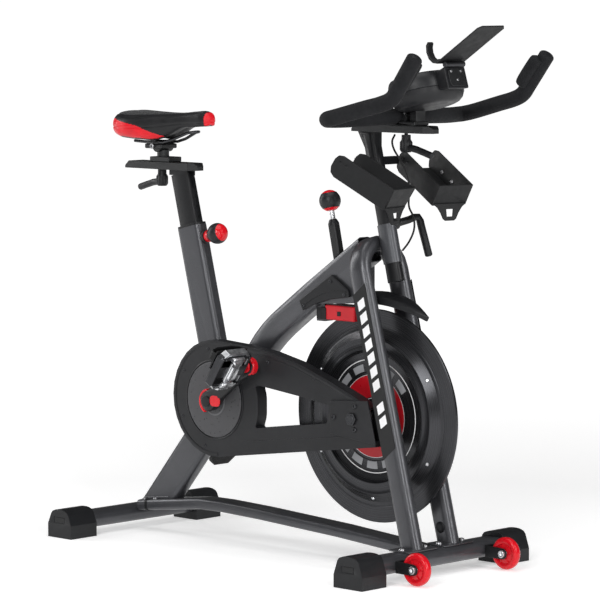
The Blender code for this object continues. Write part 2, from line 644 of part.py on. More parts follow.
# ---------------------------------------------------------------- brake and fender
def brake_parts():
    """The magnet caliper straddles the flywheel's rim; the knob above sets its height."""
    magnet = block("magnet_bracket", (0.1000, -0.020, 0.5290), (0.1880, 0.020, 0.5615), "red", 0.002, 1)
    cut(magnet, block("space", (0.106, -0.0085, 0.50), (0.22, 0.0085, 0.5585), "red"))
    for sign in SIDES.values():
        ends = sorted((sign * 0.0145, sign * 0.0195))
        join(magnet, block("ear", (0.0790, ends[0], 0.5300), (0.1030, ends[1], 0.5450), "red"))
    carry("magnet_axis", MAGNET_PIVOT, magnet)

    outline = [(0.0335, 0.5670), (0.0445, 0.5461), (0.0890, 0.5640), (0.1260, 0.5750), (0.1850, 0.5840),
               (0.1810, 0.5990), (0.1310, 0.6300)]
    prism("brake_cover", outline, -0.0335, -0.0253, "plastic")

    lean = Vector((-math.sin(KNOB_LEAN), 0, math.cos(KNOB_LEAN)))
    foot = Vector(SLEEVE_FOOT)
    sleeve = sweep("resistance_sleeve", [foot - lean * 0.040, foot + lean * 0.064], rounded(0.0205, 0.0205, 0.003, 1),
                   "black_steel", inner=rounded(0.0150, 0.0150, 0.002, 1))
    cut(sleeve, main_tube_space())
    rod_obj = rod("resistance_rod", foot + lean * 0.030, foot + lean * 0.0945, 0.0060, "silver", 16)
    carry("brake_press_axis", foot, rod_obj)
    ball = 0.0240
    profile = [(0.0, -ball)] + [(ball * math.sin(a), -ball * math.cos(a))
                                for a in (math.pi * i / 9 for i in range(1, 9))] + [(0.0, ball)]
    knob = lathe("resistance_knob", profile, foot + lean * 0.1150, lean, "plastic", 20)
    cut(knob, rod("space", foot + lean * 0.08, foot + lean * 0.0948, 0.0063, "red", 16))
    carry("knob_axis", foot + lean * 0.1150, knob)


KNOB_LEAN = math.radians(12.5)
SLEEVE_FOOT = (0.1215, 0.0, 0.6760)
MAGNET_PIVOT = (0.0865, 0.0, 0.5370)


def main_tube_space():
    """The main tube's outer shape where the resistance sleeve stands on it."""
    slope = Vector((0.1995, 0, 0.137)).normalized()
    middle = Vector((0.1230, 0, 0.6262))
    return sweep("space", [middle - slope * 0.10, middle + slope * 0.10], rounded(0.0680, 0.0612, 0.012, 3), "red")


def sleeve_space():
    """Hole through the main tube's top wall for the resistance rod."""
    lean = Vector((-math.sin(KNOB_LEAN), 0, math.cos(KNOB_LEAN)))
    foot = Vector(SLEEVE_FOOT)
    return rod("space", foot - lean * 0.06, foot + lean * 0.03, 0.0090, "red", 12)


def fender():
    """A curved guard with side skirts over the flywheel's front top, drawn to a point."""
    bm = bmesh.new()
    centre = Vector((AXLE[0], 0, AXLE[1]))
    inner_r, outer_r = 0.2690, 0.2720
    rings = []
    count = 10
    for i in range(count + 1):
        t = i / count
        angle = math.radians(95.0 - 39.0 * t)
        half = 0.0380 * (1 - t ** 2.2) + 0.0015
        out = Vector((math.cos(angle), 0, math.sin(angle)))
        skirt = 0.0270 * (1 - 0.55 * t)
        inside = max(half - 0.0030, 0.4 * half)
        section = [(-half, outer_r - skirt), (-half * 0.96, outer_r - 0.0050), (-half * 0.60, outer_r - 0.0015),
                   (0.0, outer_r), (half * 0.60, outer_r - 0.0015), (half * 0.96, outer_r - 0.0050),
                   (half, outer_r - skirt)]
        lower = [(y * inside / half, r - (outer_r - inner_r) * (1.0 if abs(y) < half else 0.0))
                 for y, r in reversed(section)]
        rings.append([centre + Vector((0, y, 0)) + out * r for y, r in section + lower])
    made = skin(bm, rings)
    bm.faces.new(made[0])
    bm.faces.new(made[-1])
    return finish_mesh("fender", bm, "plastic")


# ---------------------------------------------------------------- saddle side
def saddle_post_parts():
    post = sweep("seat_post", [post_point(SEAT_TOP, 0.500), post_point(SEAT_TOP, 0.830)],
                 rounded(0.058, 0.028, 0.009, 3), "frame_paint", inner=rounded(0.052, 0.022, 0.006, 3))
    top = post_point(SEAT_TOP, 0.8340)
    join(post, block("head", (top.x - 0.028, -0.0140, 0.8260), (top.x + 0.028, 0.0140, SEAT_RAIL_Z[0] - GAP),
                     "frame_paint"))
    rail = chamfered_rail("seat_rail", -0.5325, -0.3075, 0.0230, SEAT_RAIL_Z, "black_steel")
    cut(rail, block("slot", (-0.5150, -0.0062, 0.80), (-0.4020, 0.0062, 0.90), "red"))
    carry("seat_post_axis", post_point(SEAT_TOP, SEAT_TOP[1]), post, rail)

    collar_path = [post_point(SEAT_TOP, SEAT_TOP[1] + GAP), post_point(SEAT_TOP, SEAT_TOP[1] + 0.0050)]
    sweep("seat_tube_collar", collar_path, rounded(0.0690, 0.0350, 0.0105, 4), "plastic",
          inner=rounded(0.0586, 0.0286, 0.009, 4))

    low = SEAT_RAIL_Z[1] + GAP
    slider = block("seat_slider", (-0.4525, -0.0205, low), (-0.3895, 0.0205, 0.8666), "black_steel", 0.001, 1)
    join(slider, rod("neck", (-0.429, 0, 0.8660), (-0.429, 0, 0.8815), 0.0140, "black_steel", 20))
    carry("seat_slider_axis", (-0.429, 0, low), slider)

    lever = l_lever("seat_lever", Vector((-0.4325, 0, 0.8300)), SEAT_RAIL_Z[1] - 0.001, -1)
    carry("seat_lever_axis", (-0.4325, 0, 0.83), lever)

    forward = Vector((math.cos(LEAN), 0, math.sin(LEAN)))
    start = post_point(SEAT_TOP, 0.6795)
    ball = 0.0240
    middle = 0.0770
    profile = [(0.0, 0.0310), (0.0050, 0.0310), (0.0050, 0.0425), (0.0130, 0.0425), (0.0150, 0.0540)]
    profile += [(ball * math.sin(a), middle - ball * math.cos(a))
                for a in (math.radians(38 + 142 * i / 7) for i in range(7))]
    profile += [(0.0, middle + ball)]
    pin = lathe("pop_pin_knob", profile, start, forward, "plastic", 20)
    carry("pop_pin_axis", start, pin)


def chamfered_rail(name, back, front, half, levels, colour):
    """A flat rail: its rear end slopes forward, and its front end is drawn in at the corners."""
    low, high = levels
    outline = [(back, low), (front, low), (front, low + 0.010), (front - 0.008, high), (back + 0.012, high),
               (back, low + 0.006)]
    rail = prism(name, outline, -half, half, colour)
    for sign in SIDES.values():
        corner = [(front - 0.020, sign * (half + 0.001)), (front + 0.001, sign * (half + 0.001)),
                  (front + 0.001, sign * 0.0090)]
        cut(rail, prism("corner", corner, low - 0.01, high + 0.01, "red", plane="XY"))
    return rail


def l_lever(name, hub, stud_top, direction):
    """A clamping lever: a round hub, a stud upwards and an arm that dips outwards."""
    body = lathe(name, [(0.0, -0.0310), (0.010, -0.0310), (0.013, -0.027), (0.013, -0.008), (0.010, -0.0035),
                        (0.010, 0.0065), (0.0040, 0.0065), (0.0040, stud_top - hub.z), (0.0, stud_top - hub.z)],
                 hub, (0, 0, 1), "plastic", 16)
    arm = [hub + Vector((direction * x, 0, z)) for x, z in ((0.004, -0.020), (0.030, -0.0240), (0.055, -0.0310),
                                                            (0.072, -0.0360))]
    return join(body, tube("arm", arm, 0.0078, "plastic", 8, True))


def saddle_sections():
    """(x, half width, bottom, side, top) of the saddle from its tail to its nose."""
    return [(-0.5400, 0.024, 0.926, 0.944, 0.9600), (-0.5350, 0.050, 0.914, 0.940, 0.9670),
            (-0.5180, 0.070, 0.907, 0.937, 0.9710), (-0.4900, 0.0765, 0.906, 0.936, 0.9705),
            (-0.4550, 0.072, 0.910, 0.938, 0.9685), (-0.4200, 0.058, 0.916, 0.941, 0.9675),
            (-0.3850, 0.042, 0.925, 0.945, 0.9680), (-0.3450, 0.030, 0.931, 0.947, 0.9710),
            (-0.3100, 0.0245, 0.934, 0.949, 0.9745), (-0.2850, 0.0210, 0.936, 0.950, 0.9745),
            (-0.2735, 0.0160, 0.938, 0.951, 0.9690), (-0.2690, 0.0080, 0.943, 0.953, 0.9610)]


def saddle():
    bm = bmesh.new()
    rings = []
    for x, half, bottom, side, top in saddle_sections():
        ring = []
        for i in range(16):
            a = 2 * math.pi * i / 16
            y = half * math.copysign(abs(math.cos(a)) ** 0.75, math.cos(a))
            rise = abs(math.sin(a)) ** 0.8
            z = side + (top - side) * rise if math.sin(a) >= 0 else side - (side - bottom) * rise
            ring.append((x, y, z))
        rings.append(ring)
    made = skin(bm, rings)
    bm.faces.new(made[0])
    bm.faces.new(made[-1])
    return finish_mesh("saddle", bm, "saddle_cover", 60)


def saddle_rails():
    """One bent rod: two rails that meet under the nose."""
    half = [(-0.4950, 0.0270, 0.9015), (-0.4650, 0.0230, 0.9000), (-0.4050, 0.0230, 0.9005),
            (-0.3750, 0.0200, 0.9080), (-0.3350, 0.0130, 0.9235), (-0.3180, 0.0060, 0.9260)]
    points = [(x, -y, z) for x, y, z in half] + [(-0.3150, 0.0, 0.9262)] + [(x, y, z) for x, y, z in reversed(half)]
    return tube("saddle_rails", points, 0.0035, "silver", 8)


def saddle_clamp():
    clamp = block("saddle_clamp", (-0.4640, -0.0260, 0.8851), (-0.4090, 0.0260, 0.8960), "black_steel", 0.002, 1)
    return clamp


def saddle_parts():
    carry("saddle_tilt_axis", (-0.429, 0, 0.891), saddle(), saddle_rails(), saddle_clamp())


# ---------------------------------------------------------------- handlebar side
def handlebar_post_parts():
    post = head_solid("handlebar_post", "frame_paint", 0.622, 0.9385, 0.040, 0.029, rounded(0.035, 0.024, None, 4))
    gusset = prism("gusset", [(0.1905, BAR_RAIL_Z[0] - GAP), (0.2100, 0.9100), (0.2390, 0.9100),
                              (0.2390, BAR_RAIL_Z[0] - GAP)], -0.0120, 0.0120, "frame_paint")
    join(post, gusset)
    join(post, block("cross_bar", (0.2280, -0.0630, 0.8720), (0.2430, 0.0630, 0.8890), "frame_paint"))
    rail = chamfered_rail("handlebar_rail", 0.1805, 0.4055, 0.0230, BAR_RAIL_Z, "black_steel")
    cut(rail, block("slot", (0.2680, -0.0062, 0.90), (0.3880, 0.0062, 1.00), "red"))
    holders = [dumbbell_holder(side) for side in SIDES]
    carry("handlebar_post_axis", bar_point(0.70), post, rail, *holders)


HOLDER_LENGTH, HOLDER_WIDTH, HOLDER_HEIGHT, HOLDER_WALL = 0.160, 0.090, 0.052, 0.0040
HOLDER_PITCH = math.radians(28.5)
HOLDER_YAW = math.radians(12.0)
HOLDER_REAR = (0.2308, 0.1165, 0.8610)    # middle of the trough's rear lower edge


def holder_matrix(sign):
    x, y, z = HOLDER_REAR
    return (Matrix.Translation((x, sign * y, z)) @ Matrix.Rotation(-sign * HOLDER_YAW, 4, "Z")
            @ Matrix.Rotation(HOLDER_PITCH, 4, "Y"))


def dumbbell_holder(side):
    """A sloping trough with a slot in its floor, and a front wall drawn down into a hook."""
    length, half, height, wall = HOLDER_LENGTH, HOLDER_WIDTH / 2, HOLDER_HEIGHT, HOLDER_WALL
    outline = [(0.0, 0.0180), (0.0050, 0.0055), (0.0170, 0.0), (length - 0.004, 0.0), (length, height),
               (0.0180, height), (0.0070, height - 0.0045), (0.0015, height - 0.0150)]
    body = prism(f"dumbbell_holder_{side}", outline, -half, half, "plastic")
    cut(body, block("inside", (-0.05, -half + wall, wall), (length - 0.0045, half - wall, 0.1), "red"),
        block("slot", (0.030, -0.0200, -0.05), (0.130, 0.0200, 0.05), "red"))
    body.data.transform(holder_matrix(SIDES[side]))
    tongue = [(-0.0430, 0.0), (0.0430, 0.0), (0.0320, -0.0085), (0.0235, -0.0200), (0.0170, -0.0330), (0.0115, -0.037),
              (-0.0115, -0.037), (-0.0170, -0.0330), (-0.0235, -0.0200), (-0.0320, -0.0085)]
    hole = [(-0.0095, -0.012), (0.0095, -0.012), (0.0080, -0.028), (-0.0080, -0.028)]
    hook = prism("hook", tongue, -wall, 0.0, "plastic", holes=[hole])
    corner = holder_matrix(SIDES[side]) @ Vector((length - 0.0052, 0, 0.0036))
    hook.data.transform(Matrix.Translation(corner) @ Matrix.Rotation(math.radians(90) - SIDES[side] * HOLDER_YAW, 4, "Z"))
    join(body, hook)
    return body


def handlebar_path():
    """Centre line of the right half of the bar, from the middle to the tip of the horn."""
    return [(0.3080, 0.0, 0.9800), (0.3030, -0.090, 0.9775), (0.2930, -0.160, 0.9760), (0.2865, -0.200, 0.9765),
            (0.2950, -0.2175, 0.9785), (0.3250, -0.2200, 0.9850), (0.4000, -0.2150, 1.0035), (0.4400, -0.2110, 1.0130),
            (0.4690, -0.2085, 1.0250), (0.4880, -0.2090, 1.0480), (0.5320, -0.2110, 1.1065)]


def handlebar():
    right = smooth_points(handlebar_path(), 2)
    left = [Vector((p.x, -p.y, p.z)) for p in reversed(right[1:])]
    bar = tube("handlebar", [*left, *right], 0.0172, "grip_foam", 10, True)
    for side, sign in SIDES.items():
        pad = [(0.4790, sign * 0.1930, 1.0450), (0.4860, sign * 0.1880, 1.0560), (0.5170, sign * 0.1880, 1.0950),
               (0.5230, sign * 0.1930, 1.1020)]
        join(bar, sweep("pad", pad, rounded(0.0260, 0.0220, 0.0080, 2), "grip_foam"))
    return bar


def console():
    """An oval housing, its face tilted up towards the rider."""
    bm = bmesh.new()
    rings = []
    for scale, height in ((0.72, -0.036), (0.90, -0.027), (1.0, -0.010), (0.99, 0.010), (0.93, 0.026), (0.84, 0.031)):
        rings.append([(CONSOLE_HALF[0] * scale * math.cos(a), CONSOLE_HALF[1] * scale * math.sin(a), height)
                      for a in (2 * math.pi * i / 24 for i in range(24))])
    made = skin(bm, rings)
    bm.faces.new(made[0])
    bm.faces.new(made[-1])
    obj = finish_mesh("console", bm, "plastic")
    obj.data.transform(Matrix.Translation(CONSOLE_CENTRE) @ Matrix.Rotation(CONSOLE_TILT, 4, "Y"))
    return obj


CONSOLE_HALF = (0.0700, 0.0870)
CONSOLE_CENTRE = (0.3780, 0.0, 1.0350)
CONSOLE_TILT = math.radians(-16.0)


def bar_parts():
    low = BAR_RAIL_Z[1] + GAP
    carriage = block("handlebar_carriage", (0.2850, -0.0230, low), (0.3650, 0.0230, 0.9690), "black_steel", 0.001, 1)
    join(carriage, block("clamp", (0.2820, -0.0180, 0.9680), (0.3360, 0.0180, 0.9850), "black_steel"),
         block("stalk", (0.3450, -0.0150, 0.9680), (0.3620, 0.0150, 1.0050), "black_steel"))
    bar = handlebar()
    cut(carriage, tube("space", [(0.3080 - 0.0033, -0.06, 0.9783), (0.3080, 0.0, 0.9800), (0.3080 - 0.0033, 0.06, 0.9783)],
                       0.0180, "red", 12), console_space())
    housing = console()
    join(housing, prism("mast", [(0.4200, 1.0350), (0.4600, 1.0420), (0.4545, 1.0895), (0.4380, 1.0790)],
                        -0.0330, 0.0330, "plastic"))
    carry("bar_slider_axis", (0.3200, 0, low), carriage, bar, housing)
    lever = l_lever("handlebar_lever", Vector((0.3205, 0, 0.9330)), BAR_RAIL_Z[1] - 0.001, 1)
    carry("bar_lever_axis", (0.3205, 0, 0.933), lever)


def console_space():
    grown = console()
    grown.name = "space"
    grown.data.transform(Matrix.Translation(CONSOLE_CENTRE) @ Matrix.Scale(1.012, 4)
                         @ Matrix.Translation([-c for c in CONSOLE_CENTRE]))
    return grown


RACK_PIVOT = (0.4560, 0.0, 1.0925)
RACK_SLOPE = math.radians(33.0)


def media_rack():
    """A thin tray with a hook on the right of its lower edge."""
    t = 0.0030
    half = 0.0420
    plate = [(-0.004, -half), (0.132, -half), (0.1401, -half + 0.008), (0.1401, half - 0.008), (0.132, half),
             (-0.004, half)]
    rack = prism("media_rack", plate, 0.0, t, "plastic", plane="XY")
    lip = [(0.0060, 0.0005), (-0.0035, 0.0001), (-0.0125, 0.0070), (-0.0175, 0.0200), (-0.0160, 0.0350),
           (-0.0090, 0.0480), (-0.0010, 0.0520), (0.0000, 0.0480), (-0.0060, 0.0420), (-0.0105, 0.0320),
           (-0.0110, 0.0200), (-0.0070, 0.0110), (0.0000, 0.0070), (0.0060, 0.0060)]
    join(rack, prism("lip", lip, -half + 0.0001, -half + 0.0160, "plastic"))
    rack.data.transform(Matrix.Translation((0.4470, 0, 1.0960)) @ Matrix.Rotation(-RACK_SLOPE, 4, "Y"))
    carry("rack_axis", RACK_PIVOT, rack)
    return rack


def height_lever():
    """The lever that clamps the handlebar post: a shaft across the head tube and a handle that hangs."""
    start = Vector((0.2690, 0.0230, 0.7450))
    corner = Vector((0.2790, 0.0850, 0.7570))
    tip = Vector((0.3060, 0.0900, 0.6760))
    lever = tube("height_lever", smooth_points([start, (0.2740, 0.0600, 0.7520), corner, (0.2870, 0.0885, 0.7330), tip],
                                               2), 0.0085, "plastic", 8, True)
    carry("height_lever_axis", start, lever)
    return lever


def console_cable():
    """The signal cable from the console's rail down to the head tube."""
    route = [(0.2880, 0.0, 0.9390), (0.2800, 0.0, 0.9240), (0.2820, 0.005, 0.9050), (0.2960, 0.012, 0.8800),
             (0.3070, 0.020, 0.8480), (0.3060, 0.026, 0.8150), (0.3020, 0.030, 0.7840), (0.3140, 0.032, 0.7600),
             (0.3150, 0.032, 0.7340), (0.3030, 0.030, 0.7080), (0.2890, 0.0240, 0.6880)]
    points = smooth_points(route, 2)
    curve = bpy.data.curves.new("console_cable", "CURVE")
    curve.dimensions = "3D"
    curve.bevel_depth = 0.0022
    curve.bevel_resolution = 2
    curve.use_fill_caps = True
    spline = curve.splines.new("POLY")
    spline.points.add(len(points) - 1)
    for target, point in zip(spline.points, points):
        target.co = (*point, 1.0)
    curve.materials.append(material("rubber"))
    cable = bpy.data.objects.new("console_cable", curve)
    bpy.context.scene.collection.objects.link(cable)
    return cable


def main():
    for obj in list(bpy.data.objects):
        bpy.data.objects.remove(obj)
    base_tubes()
    foot_caps()
    base_tube()
    wheel_parts()
    frame_tubes()
    flywheel_parts()
    guard_parts()
    axle_plates()
    drive_parts()
    pedal_parts()
    brake_parts()
    fender()
    saddle_post_parts()
    saddle_parts()
    handlebar_post_parts()
    bar_parts()
    media_rack()
    height_lever()
    console_cable()


main()
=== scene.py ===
"""Looks for the indoor spin bike: a studio, procedural materials, rounded copies of the CAD nodes, and trim.

Metres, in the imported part's frame: +X is forward, +Y is the rider's left, +Z is up.
"""

import json
import math

import bmesh
import bpy
import numpy as np
from mathutils import Matrix, Vector, noise

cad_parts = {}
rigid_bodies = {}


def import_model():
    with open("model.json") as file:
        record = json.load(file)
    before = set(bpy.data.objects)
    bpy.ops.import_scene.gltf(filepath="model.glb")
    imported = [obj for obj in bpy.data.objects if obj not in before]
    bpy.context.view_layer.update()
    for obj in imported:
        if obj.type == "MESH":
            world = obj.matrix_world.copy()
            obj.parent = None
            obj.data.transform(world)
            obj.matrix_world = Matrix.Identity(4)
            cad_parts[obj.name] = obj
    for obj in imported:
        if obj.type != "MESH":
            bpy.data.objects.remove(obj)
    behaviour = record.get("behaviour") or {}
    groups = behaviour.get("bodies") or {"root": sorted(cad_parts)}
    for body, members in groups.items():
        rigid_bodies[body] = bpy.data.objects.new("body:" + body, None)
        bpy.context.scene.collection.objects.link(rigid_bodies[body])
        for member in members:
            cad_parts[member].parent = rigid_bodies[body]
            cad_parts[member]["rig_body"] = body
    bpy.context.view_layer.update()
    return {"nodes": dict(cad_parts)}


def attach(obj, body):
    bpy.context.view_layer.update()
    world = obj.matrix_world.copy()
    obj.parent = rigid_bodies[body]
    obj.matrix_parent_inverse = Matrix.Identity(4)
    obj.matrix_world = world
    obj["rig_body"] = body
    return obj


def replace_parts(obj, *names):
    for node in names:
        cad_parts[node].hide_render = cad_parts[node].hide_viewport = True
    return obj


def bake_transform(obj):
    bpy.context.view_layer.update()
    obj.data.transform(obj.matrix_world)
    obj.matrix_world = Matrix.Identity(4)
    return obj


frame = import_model()
NODES = frame["nodes"]

SIDES = {"right": -1, "left": 1}
LEAN = math.radians(14.3)
SEAT_TOP = (-0.3352, 0.710)
BB, CRANK_LENGTH, CRANK_ANGLE = (-0.1845, 0.331), 0.165, math.radians(33.2)
PEDAL_Y = {"right": 0.172, "left": 0.150}
PEDAL_TILT = {"right": math.radians(123.0), "left": math.radians(28.0)}
AXLE = (0.2365, 0.3267)
GUARD_FACE = -0.076
GUARD_C, GUARD_R = (-0.188, 0.335), 0.1316
FORK_SLOPE, FORK_FOOT = math.tan(math.radians(14.5)), (0.3945, 0.058)
LEG_Y, LEG_OUT, LEG_HALF = 0.0585, 0.01675, 0.0255
KNOB_LEAN, SLEEVE_FOOT = math.radians(12.5), Vector((0.1215, 0.0, 0.6760))
BALL_RADIUS = 0.0239
CAMERA_PLACE, CAMERA_TARGET = Vector((5.2532, -5.4627, 1.2736)), Vector((0.0056, 0.0, 0.5642))
SENSOR_MM, LENS_MM = 36.0, 206.36
FLOOR_RADIUS, FLOOR_DROP = 900.0, 0.0004
LIGHTS = (
    # name, place, what it points at, size, watts
    ("overhead", (0.3, -0.3, 3.4), (0, 0, 0.4), (2.6, 2.6), 48),
    ("front_strip", (3.6, 0.6, 1.9), (0.1, 0, 0.6), (0.9, 2.6), 55),
    ("edge_strip", (5.0, -2.9, 1.8), (0, 0, 0.6), (0.45, 2.5), 75),
    ("key", (1.6, -3.4, 2.4), (0, 0, 0.5), (1.6, 1.8), 72),
    ("rear_rim", (-3.0, -1.2, 1.7), (0, 0, 0.6), (0.8, 2.4), 40),
)
PLASTIC_SPECULAR = 0.28


# ---------------------------------------------------------------- camera, light and stage
def make_camera():
    data = bpy.data.cameras.new("camera")
    camera = bpy.data.objects.new("camera", data)
    bpy.context.scene.collection.objects.link(camera)
    camera.location = CAMERA_PLACE
    camera.rotation_mode = "QUATERNION"
    camera.rotation_quaternion = (CAMERA_TARGET - CAMERA_PLACE).to_track_quat("-Z", "Y")
    data.sensor_width, data.lens = SENSOR_MM, LENS_MM
    data.clip_start, data.clip_end = 0.1, 3000.0
    bpy.context.scene.camera = camera


def area_light(name, place, target, size, watts):
    data = bpy.data.lights.new(name, "AREA")
    data.shape, data.size, data.size_y = "RECTANGLE", size[0], size[1]
    data.energy = watts
    lamp = bpy.data.objects.new(name, data)
    bpy.context.scene.collection.objects.link(lamp)
    lamp.location = place
    lamp.rotation_mode = "QUATERNION"
    lamp.rotation_quaternion = (Vector(target) - Vector(place)).to_track_quat("-Z", "Y")


def make_world():
    """White below and at the horizon, dimmer a little above it, and grey overhead."""
    world = bpy.data.worlds.new("studio")
    bpy.context.scene.world = world
    world.use_nodes = True
    tree = world.node_tree
    where = tree.nodes.new("ShaderNodeTexCoord")
    split = tree.nodes.new("ShaderNodeSeparateXYZ")
    ramp = tree.nodes.new("ShaderNodeValToRGB")
    tree.links.new(where.outputs["Generated"], split.inputs[0])
    tree.links.new(split.outputs["Z"], ramp.inputs[0])
    stops = ramp.color_ramp.elements
    stops[0].position, stops[0].color = 0.07, (1.0, 1.0, 1.0, 1)
    stops[1].position, stops[1].color = 1.0, (0.40, 0.405, 0.42, 1)
    dim = stops.new(0.20)
    dim.color = (0.26, 0.265, 0.275, 1)
    tree.nodes["Background"].inputs["Strength"].default_value = 1.0


def make_floor():
    """A pale disc that glows more with distance, so that it meets the backdrop without an edge."""
    floor_mat = bpy.data.materials.new("floor_white")
    floor_mat.use_nodes = True
    floor_tree = floor_mat.node_tree
    shader = floor_tree.nodes["Principled BSDF"]
    shader.inputs["Base Color"].default_value = (0.85, 0.85, 0.85, 1)
    shader.inputs["Roughness"].default_value = 0.75
    shader.inputs["Specular IOR Level"].default_value = 0.2
    shader.inputs["Emission Color"].default_value = (1, 1, 1, 1)
    spot = floor_tree.nodes.new("ShaderNodeTexCoord")
    away = floor_tree.nodes.new("ShaderNodeVectorMath")
    away.operation = "LENGTH"
    glow = floor_tree.nodes.new("ShaderNodeMapRange")
    floor_tree.links.new(spot.outputs["Object"], away.inputs[0])
    floor_tree.links.new(away.outputs["Value"], glow.inputs["Value"])
    for key, number in (("From Min", 1.2), ("From Max", 4.0), ("To Min", 0.40), ("To Max", 1.0)):
        glow.inputs[key].default_value = number
    floor_tree.links.new(glow.outputs[0], shader.inputs["Emission Strength"])
    bm = bmesh.new()
    bmesh.ops.create_circle(bm, cap_ends=True, radius=FLOOR_RADIUS, segments=96)
    mesh = bpy.data.meshes.new("floor")
    bm.to_mesh(mesh)
    bm.free()
    mesh.materials.append(floor_mat)
    floor = bpy.data.objects.new("floor", mesh)
    floor.location.z = -FLOOR_DROP
    bpy.context.scene.collection.objects.link(floor)


def make_studio():
    bpy.context.scene.view_settings.view_transform = "Standard"
    make_world()
    for light in LIGHTS:
        area_light(*light)
    make_floor()


# ---------------------------------------------------------------- materials
class Shader:
    """Builds one procedural material on the Principled shader."""

    def __init__(self, name, colour, roughness, metallic, **constants):
        self.material = bpy.data.materials.new(name)
        self.material.use_nodes = True
        self.tree = self.material.node_tree
        self.main = self.tree.nodes["Principled BSDF"]
        self.colour = colour
        self.main.inputs["Base Color"].default_value = (*colour, 1.0)
        self.main.inputs["Roughness"].default_value = roughness
        self.main.inputs["Metallic"].default_value = metallic
        for socket, value in constants.items():
            self.main.inputs[socket.replace("_", " ")].default_value = value
        where = self.tree.nodes.new("ShaderNodeTexCoord")
        self.where = where.outputs["Object"]
        self.height = None

    def node(self, kind, **values):
        made = self.tree.nodes.new(kind)
        for key, value in values.items():
            setattr(made, key, value)
        return made

    def link(self, source, target):
        self.tree.links.new(source, target)

    def noise(self, scale, detail=2.0, rough=0.5, stretch=None):
        made = self.node("ShaderNodeTexNoise")
        made.inputs["Scale"].default_value = scale
        made.inputs["Detail"].default_value = detail
        made.inputs["Roughness"].default_value = rough
        source = self.where
        if stretch:
            mapping = self.node("ShaderNodeMapping")
            mapping.inputs["Scale"].default_value = stretch
            self.link(self.where, mapping.inputs["Vector"])
            source = mapping.outputs[0]
        self.link(source, made.inputs["Vector"])
        return made.outputs["Fac"]

    def cells(self, scale, output="Distance", feature="F1"):
        made = self.node("ShaderNodeTexVoronoi", feature=feature)
        made.inputs["Scale"].default_value = scale
        self.link(self.where, made.inputs["Vector"])
        return made.outputs[output]

    def spread(self, value, low, high, start=0.3, stop=0.7):
        made = self.node("ShaderNodeMapRange")
        self.link(value, made.inputs["Value"])
        for key, number in (("From Min", start), ("From Max", stop), ("To Min", low), ("To Max", high)):
            made.inputs[key].default_value = number
        return made.outputs[0]

    def math(self, kind, a, b=None):
        made = self.node("ShaderNodeMath", operation=kind)
        for socket, value in ((0, a), (1, b)):
            if value is None:
                continue
            if isinstance(value, (int, float)):
                made.inputs[socket].default_value = value
            else:
                self.link(value, made.inputs[socket])
        return made.outputs[0]

    def mix(self, factor, first, second):
        made = self.node("ShaderNodeMix", data_type="RGBA")
        self.link(factor, made.inputs["Factor"])
        for socket, value in (("A", first), ("B", second)):
            target = [s for s in made.inputs if s.name == socket and s.type == "RGBA"][0]
            if isinstance(value, tuple):
                target.default_value = (*value, 1.0)
            else:
                self.link(value, target)
        return [s for s in made.outputs if s.type == "RGBA"][0]

    def paint(self, colour):
        self.link(colour, self.main.inputs["Base Color"])
        return self

    def mottle(self, scale, amount):
        """Slow light and dark variation of the base colour."""
        light = tuple(min(1.0, c * (1 + amount)) for c in self.colour)
        dark = tuple(c * (1 - amount) for c in self.colour)
        return self.paint(self.mix(self.spread(self.noise(scale, 3.0), 0.0, 1.0), dark, light))

    def rough(self, low, high, scale):
        self.link(self.spread(self.noise(scale, 3.0), low, high), self.main.inputs["Roughness"])
        return self

    def bump(self, height, strength, depth):
        made = self.node("ShaderNodeBump")
        made.inputs["Strength"].default_value = strength
        made.inputs["Distance"].default_value = depth
        self.link(height, made.inputs["Height"])
        if self.height is not None:
            self.link(self.height, made.inputs["Normal"])
        self.height = made.outputs[0]
        self.link(self.height, self.main.inputs["Normal"])
        return self


def metallic_paint(name, colour, rough=0.36, metallic=0.55, coat=0.22, specular=0.5):
    """Satin paint with fine metal flakes under a thin clear coat, and a slight orange peel."""
    s = Shader(name, colour, rough, metallic, Coat_Weight=coat, Coat_Roughness=0.22,
               Specular_IOR_Level=specular)
    flake = s.spread(s.cells(2600.0, "Color"), 0.0, 1.0, 0.0, 1.0)
    slow = s.spread(s.noise(7.0, 3.0), 0.0, 1.0)
    base = s.mix(slow, tuple(c * 0.88 for c in colour), tuple(c * 1.12 for c in colour))
    s.paint(s.mix(s.math("POWER", flake, 5.0), base, tuple(min(1.0, c * 1.9 + 0.01) for c in colour)))
    s.rough(rough - 0.05, rough + 0.07, 45.0)
    s.bump(s.noise(420.0, 2.0), 0.10, 0.0004)
    return s.material


def moulded(name, colour, rough, grain=0.22, scale=1500.0):
    """Injection-moulded plastic: fine spark-eroded grain and slow gloss changes."""
    s = Shader(name, colour, rough, 0.0, Specular_IOR_Level=PLASTIC_SPECULAR)
    s.mottle(11.0, 0.10)
    s.rough(rough - 0.07, rough + 0.07, 60.0)
    s.bump(s.noise(scale, 3.0, 0.6), grain, 0.0003)
    s.bump(s.noise(38.0, 2.0), 0.05, 0.0008)
    return s.material


def powder_coat(name, colour, rough):
    """Dark powder paint: matt, with a fine pebbled skin."""
    s = Shader(name, colour, rough, 0.35)
    s.mottle(18.0, 0.14)
    s.rough(rough - 0.06, rough + 0.08, 90.0)
    s.bump(s.cells(900.0), 0.20, 0.0003)
    return s.material


def bare_metal(name, colour, rough=0.28):
    """Drawn or machined metal: long scratches and soft tarnish."""
    s = Shader(name, colour, rough, 1.0, Anisotropic=0.35)
    s.mottle(35.0, 0.10)
    scratches = s.noise(1.0, 4.0, 0.6, (60.0, 900.0, 60.0))
    s.link(s.spread(scratches, rough - 0.08, rough + 0.14), s.main.inputs["Roughness"])
    s.bump(scratches, 0.10, 0.0002)
    return s.material


